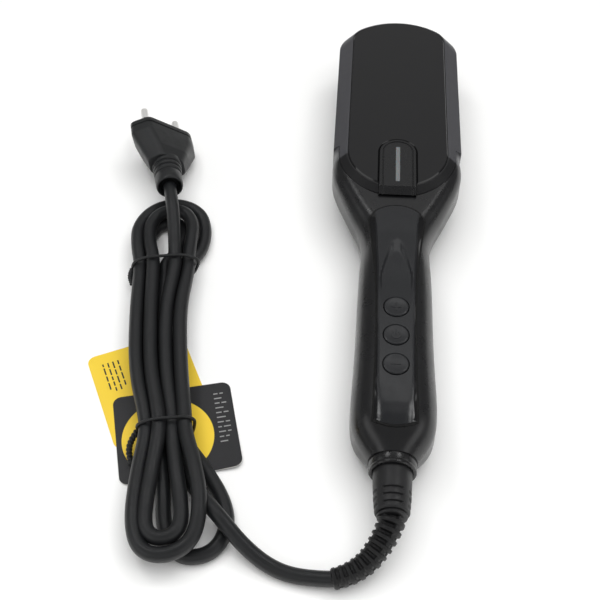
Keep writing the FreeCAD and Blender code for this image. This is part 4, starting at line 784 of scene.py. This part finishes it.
def buttonMarks(name):
    reach = buttonSet["markHalf"]
    stroke = buttonSet["stroke"]
    bar = barMark(reach, stroke)
    if name == "minus_button":
        return [bar]
    if name == "plus_button":
        return [[(stroke, reach), (-stroke, reach), (-stroke, stroke), (-reach, stroke),
                 (-reach, -stroke), (-stroke, -stroke), (-stroke, -reach), (stroke, -reach),
                 (stroke, -stroke), (reach, -stroke), (reach, stroke), (stroke, stroke)]]
    start, end = buttonSet["ringArc"]
    inner = reach - stroke * buttonSet["ringThick"]
    ring = arcPoints((0, 0), reach, start, end, buttonSet["ringSteps"])
    ring += arcPoints((0, 0), inner, end, start, buttonSet["ringSteps"])
    upright = barMark(reach * buttonSet["barHalf"], stroke * buttonSet["barThin"])
    return [ring, [(y, x + reach * buttonSet["barRise"]) for x, y in upright]]


for name, along in buttonSet["places"].items():
    buttonRings = []
    for radius, level in buttonSet["section"]:
        buttonRings += levelRings(circlePoints((0, along), radius, buttonSet["around"]), [level])
    buttonShape = ringShape(buttonRings)
    for mark in buttonMarks(name):
        outline = [(x, y + along) for x, y in mark]
        ringShape(levelRings(outline, buttonSet["markLevels"]), shape=buttonShape)
    dress(keepMesh(name + "_cap", buttonShape), name, blastedAbs, "gloss_black_cover", name)
print("stage: cover, bezel, panel and buttons made")


# Collar and swivel barrel, turned on the swivel's axis; the barrel is slotted on four sides near the cord
swivelSet = {
    "axis": (0, 17),
    "collar": [(-122, 8.5), (-132.5, 8.5), (-132.9, 8.62), (-133, 8.9), (-133, 9.7), (-132.86, 9.98),
               (-132.5, 10.15), (-131.6, 10.15), (-131.3, 10.02), (-131, 10.15), (-128, 10.15),
               (-128, 9.2), (-122, 9.2), (-122, 8.5)],
    "barrelTail": [(-154, 4.9), (-153.9, 5.8), (-153.6, 6.3), (-153, 6.5), (-152.8, 6.4), (-152.7, 5.9),
                   (-152.2, 5.9), (-152.1, 6.7), (-151.9, 7.1), (-151.6, 7.3)],
    "barrelInside": [(-133, 8.4), (-121.6, 8.4), (-121.6, 9.7), (-119.6, 9.7), (-119.6, 3.6),
                     (-150, 3.6)],
    "taper": [(-133, 8.4), (-146, 7.9), (-151.4, 7.35)],
    # Barrel's tapered rings: start, step and how many
    "rings": (-151.4, 0.2, 50), "collarAround": 96, "barrelAround": 144,
    # Slots: places, and where their walls begin and end across the side and along the axis
    "slots": (-143.4, -146.6, -149.8), "slotDepth": 0.85,
    "slotAcross": (31.5, 34.5), "slotAlong": (0.47, 0.82),
}


def barrelDent(along, angle):
    # Nearest of the four sides decides whether this point lies in a slot
    turn = abs((math.degrees(angle) + 45) % 90 - 45)
    across = 1 - smoothStep(turn, *swivelSet["slotAcross"])
    nearest = min(abs(along - slot) for slot in swivelSet["slots"])
    return swivelSet["slotDepth"] * across * (1 - smoothStep(nearest, *swivelSet["slotAlong"]))


collarRings = turnedRings(swivelSet["collar"], swivelSet["axis"], swivelSet["collarAround"])
collarShape = ringShape(collarRings, False, False)
bmesh.ops.remove_doubles(collarShape, verts=collarShape.verts, dist=weld)
dress(keepMesh("collar_ring", collarShape), "brush", glossAbs, "gloss_black_casing", "swivel_collar")
barrelStart, barrelStep, barrelCount = swivelSet["rings"]
barrelPlaces = [barrelStart + barrelStep * step for step in range(barrelCount)]
barrelBody = [(along, alongTable(swivelSet["taper"], along)) for along in barrelPlaces]
barrelProfile = swivelSet["barrelTail"] + barrelBody + swivelSet["barrelInside"]
barrelRings = turnedRings(barrelProfile, swivelSet["axis"], swivelSet["barrelAround"], barrelDent)
dress(keepMesh("barrel_sleeve", ringShape(barrelRings)), "cord_set", sparkNylon, "matte_black_plastic",
      "swivel_barrel")


# Bend relief: a soft ladder of ribs between four rails, narrowing toward the cord
bootSet = {
    "line": [(0, -153.6, 17), (-1.4, -160.3, 16), (-12.2, -174, 7.7), (-23, -176.2, 5.7)],
    "ribs": 11, "steps": 165, "around": 96, "resolution": 24, "sharp": 50,
    # Radius at the barrel and at the cord
    "outer": (5.95, 4.4), "core": (3.75, 3.45),
    # Shares of the pitch in which a rib rises and falls, the rails' edges in degrees and their height
    "ribRise": (0.3, 0.44), "ribFall": (0.84, 0.98), "railEdge": (11, 17), "railHeight": 0.72,
    "tip": (0.985, 1), "tipDrop": 0.25,
}


def bootRadius(share, angle):
    outer = bootSet["outer"][0] + (bootSet["outer"][1] - bootSet["outer"][0]) * share
    core = bootSet["core"][0] + (bootSet["core"][1] - bootSet["core"][0]) * share
    phase = (share * bootSet["ribs"]) % 1
    rib = smoothStep(phase, *bootSet["ribRise"]) * (1 - smoothStep(phase, *bootSet["ribFall"]))
    # Rails stand halfway between the top, the sides and the bottom
    turn = abs(abs((math.degrees(angle) + 45) % 90 - 45) - 45)
    rail = bootSet["railHeight"] * (1 - smoothStep(turn, *bootSet["railEdge"]))
    tip = 1 - bootSet["tipDrop"] * smoothStep(share, *bootSet["tip"])
    return core + (outer - core) * max(rib, rail) * tip


bootSpots = evenSpots(linePoints("boot_line", bootSet["line"], bootSet["resolution"]), bootSet["steps"])
bootShape = ringShape(tubeRings(bootSpots, bootSet["around"], bootRadius))
dress(keepMesh("boot_ladder", bootShape, bootSet["sharp"]), "cord_set", mattePvc, "black_cord",
      "cord_boot")
print("stage: collar, barrel and boot made")


# Plug: a flat six-sided body with a groove behind its face, and a ribbed sleeve with a hollow mouth
plugSet = {
    "tail": (-116, 28.3, 19.9), "turn": 13.7, "tip": -7, "roll": 33.5,
    # Along from the tail, half width, half height, half of the flat edge, inset
    "body": [(18, 11.5, 6.9, 6.25, 0.9), (18.2, 11.5, 6.9, 6.25, 0.25), (18.7, 11.6, 6.95, 6.3, 0),
             (25.4, 14.8, 7.95, 8.4, 0), (26.2, 15.1, 8.1, 8.7, 0), (37, 19.55, 8.38, 12.35, 0),
             (38, 19.75, 8.4, 12.5, 0), (42.6, 19.75, 8.4, 12.5, 0), (42.8, 19.75, 8.4, 12.5, 0.6),
             (43.9, 19.75, 8.4, 12.5, 0.6), (44.1, 19.75, 8.4, 12.5, 0), (46.9, 19.75, 8.4, 12.5, 0),
             (47.3, 19.75, 8.4, 12.5, 0.2), (47.5, 19.75, 8.4, 12.5, 0.7)],
    "cornerCut": 2.4, "cornerSteps": 5, "edgeInset": 0.5, "bodySharp": 36,
    # Along from the tail and radius
    "sleeve": [(5, 3.2), (5, 5.3), (0.5, 5.6), (0.1, 5.8), (0, 6.1), (0.1, 6.5), (0.5, 6.8), (1.2, 6.95),
               (7.6, 7.15), (7.9, 7), (8.2, 6.35), (9.2, 6.35), (9.5, 7.05), (9.8, 7.25), (11, 7.3),
               (11.3, 7.15), (11.6, 6.5), (12.6, 6.5), (12.9, 7.25), (13.2, 7.4), (14.4, 7.45),
               (14.7, 7.3), (15, 6.7), (16, 6.7), (16.3, 7.45), (16.6, 7.6), (18.4, 7.7), (20, 7.7)],
    "sleeveAround": 72, "sleeveSharp": 40,
}
plugFrame = (Matrix.Translation(plugSet["tail"]) @ turnMatrix(plugSet["turn"], "Z")
             @ turnMatrix(plugSet["tip"], "X") @ turnMatrix(plugSet["roll"], "Y"))


def hexRing(along, halfWide, halfHigh, halfEdge, inset):
    # Six corners, each eased by a short curve
    wide = halfWide - inset
    high = halfHigh - inset
    edge = halfEdge - inset * plugSet["edgeInset"]
    corners = [Vector(corner) for corner in (
        (wide, 0), (edge, high), (-edge, high), (-wide, 0), (-edge, -high), (edge, -high))]
    ring = []
    for index, corner in enumerate(corners):
        before = corner + (corners[index - 1] - corner).normalized() * plugSet["cornerCut"]
        following = corners[(index + 1) % len(corners)]
        after = corner + (following - corner).normalized() * plugSet["cornerCut"]
        for step in range(plugSet["cornerSteps"] + 1):
            share = step / plugSet["cornerSteps"]
            spot = before * (1 - share) ** 2 + corner * 2 * share * (1 - share) + after * share ** 2
            ring.append(plugFrame @ Vector((spot.x, along, spot.y)))
    return ring


plugShape = ringShape([hexRing(*entry) for entry in plugSet["body"]])
plugBody = dress(evenNormals(keepMesh("plug_moulding", plugShape, plugSet["bodySharp"])), "cord_set",
                 softPvc, "black_plug", "plug_body")
sleeveRings = turnedRings(plugSet["sleeve"], (0, 0), plugSet["sleeveAround"])
sleeveShape = ringShape([[plugFrame @ Vector(point) for point in ring] for ring in sleeveRings])
plugSleeve = dress(keepMesh("plug_ribs", sleeveShape, plugSet["sleeveSharp"]), "cord_set", softPvc,
                   "black_plug", "plug_sleeve")


# Twist ties: a wire drawn round the strands, its two ends twisted together at the left
tieSet = {
    "wire": 0.75, "helix": 0.75, "steps": 40, "resolution": 12, "roundness": 4,
    # Aside and height round the strands; aside, along and height of the twisted ends, and their turns
    "upper_twist_tie": {
        "along": "upperTie", "turns": 3.5,
        "ring": [(-16.4, 9.4), (-16.2, 13.6), (-11, 16.6), (-7, 17.4), (6, 17.8), (11, 16.9),
                 (16.6, 13.4), (16, 9.2), (13.2, 3), (9, 1.7), (0, 1.65), (-8.6, 1.7), (-13, 3.2),
                 (-16.4, 8.4)],
        "tail": [(-16.6, 0, 8.8), (-17.6, -2.2, 8.2), (-17.6, -4.6, 6.9), (-16.8, -6.6, 5.6)]},
    "lower_twist_tie": {
        "along": "lowerTie", "turns": 4.5,
        "ring": [(-12.2, 9), (-13, 13.2), (-9.4, 16), (-3, 18.1), (3, 17.6), (8.8, 18.2), (13, 15.4),
                 (12.6, 10), (10.8, 3.4), (6.8, 1.7), (0, 1.65), (-6.6, 1.7), (-10, 3.6), (-12.2, 8)],
        "tail": [(-13, 0, 8.4), (-16, -4, 7.2), (-16.8, -9, 4.6), (-15.6, -13, 2.6)]},
}


def tiePiece(node):
    facts = tieSet[node]
    along = cordSet[facts["along"]]
    runs = [[Vector((aside, along, height)) for aside, height in facts["ring"]]]
    tail = linePoints("tail_line", [(x, along + y, z) for x, y, z in facts["tail"]], tieSet["resolution"])
    for start in (0, math.pi):
        strand = []
        for step, (place, way) in enumerate(evenSpots(tail, tieSet["steps"])):
            aside = way.cross(Vector((0, 0, 1))).normalized()
            angle = start + math.tau * facts["turns"] * step / tieSet["steps"]
            outward = aside * math.cos(angle) + aside.cross(way) * math.sin(angle)
            strand.append(place + outward * tieSet["helix"])
        runs.append(strand)
    laid = [[hankFrame @ point for point in run] for run in runs]
    piece = splineObject(node + "_wire", laid, tieSet["wire"], tieSet["resolution"], tieSet["roundness"])
    dress(piece, "cord_set", softPvc, "black_cord", node)


tiePiece("upper_twist_tie")
tiePiece("lower_twist_tie")
print("stage: plug and ties made")


# Cards under the hank: thin, round-cornered, pale at the cut edge, plain print without letters
cardSet = {
    "halfLong": 27, "halfWide": 23.25, "thick": 0.4, "columns": 24, "rows": 16,
    "corner": 4, "cornerAngles": (90, 78, 66, 54, 42, 30, 15),
    # Ink: how deep it sits and how far it stands up; strokes' least length, spread, gap and shortest rest
    "ink": (-0.05, 0.03), "stroke": 1.6, "strokeSpread": 2.4, "strokeGap": 0.9, "strokeRest": 1.5,
    "strokeLengths": 9, "strokeMix": (7, 5, 3),
    "discAround": 120, "liftWay": (0.8, 0.6), "liftFade": (14, 36),
}
# Each card: place, turn, height, how far its near right corner has sprung up, its finishes (face, cut
# edge and inks), discs with the number of their ink, and strokes with theirs
cards = {
    "yellow_card": {
        "node": "yellow_tag", "place": (-111.4, -84.3), "turn": -65.4, "low": 0, "lift": 0,
        "finishes": (yellowCard, cardCore, blackCard), "discs": [], "printInk": 2,
        "print": {"left": -21, "top": -10, "width": 17, "rows": 4, "pitch": 2.4, "thick": 0.7,
                  "seed": 3}},
    "black_card": {
        "node": "black_tag", "place": (-95.7, -107.4), "turn": 13.8, "low": 0.4, "lift": 1.6,
        "finishes": (blackCard, cardCore, yellowCard, greyInk), "discs": [((-4, -2.4), 20.6, 2)],
        "printInk": 3,
        "print": {"left": 18.8, "top": 17, "width": 5.6, "rows": 11, "pitch": 2.6, "thick": 0.6,
                  "seed": 5}},
}


def cardRows():
    # Rows close up at the rounded corners; each gives its place and half length
    inner = cardSet["halfWide"] - cardSet["corner"]
    rows = []
    for degrees in cardSet["cornerAngles"]:
        angle = math.radians(degrees)
        rise = math.sin(angle) * cardSet["corner"]
        rows.append((inner + rise, cardSet["halfLong"] - cardSet["corner"] * (1 - math.cos(angle))))
    count = cardSet["rows"]
    middle = [(inner - 2 * inner * step / count, cardSet["halfLong"]) for step in range(count + 1)]
    return rows + middle + [(-along, half) for along, half in reversed(rows)]


def cornerLift(aside, along):
    # Share of the lift, growing toward the near right corner
    across, down = cardSet["liftWay"]
    return smoothStep(aside * across - along * down, *cardSet["liftFade"]) ** 2


def cardPiece(name, facts, marks):
    # Each mark is a flat outline and the number of its ink
    shape = bmesh.new()
    cardFrame = Matrix.Translation((*facts["place"], facts["low"])) @ turnMatrix(facts["turn"], "Z")

    def spot(aside, along, height):
        raised = height + facts["lift"] * cornerLift(aside, along)
        return shape.verts.new((cardFrame @ Vector((aside, along, raised))) * mm)

    sheets = []
    for height in (0, cardSet["thick"]):
        sheet = []
        for along, half in cardRows():
            row = [half - 2 * half * step / cardSet["columns"] for step in range(cardSet["columns"] + 1)]
            sheet.append([spot(aside, along, height) for aside in row])
        skinRows(shape, sheet)
        sheets.append(sheet)
    rims = []
    for sheet in sheets:
        ends = [row[-1] for row in sheet[1:]]
        starts = [row[0] for row in sheet[-2:0:-1]]
        rims.append(sheet[0] + ends + sheet[-1][-2::-1] + starts)
    for face in skinRows(shape, rims, True):
        face.material_index = 1
    for outline, ink in marks:
        base, top = [[spot(x, y, cardSet["thick"] + lift) for x, y in outline] for lift in cardSet["ink"]]
        faces = [shape.faces.new(list(reversed(base))), shape.faces.new(top)]
        for face in faces + skinRows(shape, [base, top], True):
            face.material_index = ink
    return keepMesh(name, shape, finishes=facts["finishes"])


def dashRows(left, top, width, rows, pitch, thick, seed):
    # Plain strokes in place of print; seed, row and place pick each one's length
    seedMix, rowMix, placeMix = cardSet["strokeMix"]
    lengths = cardSet["strokeLengths"]
    marks = []
    for row in range(rows):
        aside = left
        while aside < left + width - cardSet["strokeRest"]:
            mixed = (seed * seedMix + row * rowMix + int(aside * placeMix)) % lengths
            length = cardSet["stroke"] + cardSet["strokeSpread"] * mixed / (lengths - 1)
            end = min(left + width, aside + length)
            low = top - row * pitch
            marks.append([(aside, low), (end, low), (end, low + thick), (aside, low + thick)])
            aside = end + cardSet["strokeGap"]
    return marks


for name, facts in cards.items():
    marks = [(circlePoints(centre, radius, cardSet["discAround"]), ink)
             for centre, radius, ink in facts["discs"]]
    marks += [(outline, facts["printInk"]) for outline in dashRows(**facts["print"])]
    dress(cardPiece(name, facts, marks), "cord_set", facts["finishes"][0], name, facts["node"])
print("stage: cards made")


# Floor and studio light, in metres
stageSet = {"floor": 3.0, "floorColour": "#f6f6f5", "world": 0.15}
# Backdrop paper, uncoated: plain white without shine
floorPaper = startMaterial("paper_backdrop_white", {
    "Roughness": 0.9, "Base Color": hexColour(stageSet["floorColour"])})[0]
floorShape = bmesh.new()
bmesh.ops.create_grid(floorShape, x_segments=1, y_segments=1, size=stageSet["floor"])
floor = keepMesh("floor", floorShape, finishes=[floorPaper])
world = bpy.data.worlds.new("studio")
world.use_nodes = True
sky = world.node_tree.nodes["Background"]
sky.inputs["Color"].default_value = (1, 1, 1, 1)
sky.inputs["Strength"].default_value = stageSet["world"]
bpy.context.scene.world = world
# Softboxes, all turned to the origin: place, width, depth, power in watts and whether gloss mirrors them
softBoxes = {
    "overhead": ((0.05, -0.1, 1.3), 1.4, 1.4, 16.2, False),
    "back": ((0, 1.3, 1.2), 2.2, 0.9, 1.7, True),
    "left": ((-1.06, -0.52, 0.72), 1.7, 0.5, 3.2, True),
    "right": ((1.06, -0.52, 0.72), 1.7, 0.5, 3.2, True),
    "front": ((0, -1.15, 0.95), 0.9, 0.14, 1.0, True),
    "highMiddle": ((0.06, 0.74, 1.3), 0.6, 0.2, 0.55, True),
    "highLeft": ((-0.62, 0.42, 1.3), 0.34, 0.3, 2.0, True),
    "highRight": ((0.62, 0.42, 1.3), 0.34, 0.3, 2.0, True),
}
for name, (place, width, depth, power, mirrored) in softBoxes.items():
    light = bpy.data.lights.new(name, "AREA")
    light.shape = "RECTANGLE"
    light.size = width
    light.size_y = depth
    light.energy = power
    lamp = bpy.data.objects.new(name, light)
    lamp.location = place
    lamp.visible_glossy = mirrored
    lamp.rotation_euler = (Vector() - Vector(place)).to_track_quat("-Z", "Y").to_euler()
    bpy.context.scene.collection.objects.link(lamp)
bpy.context.scene.view_settings.view_transform = "Standard"
print("stage: floor and light set")
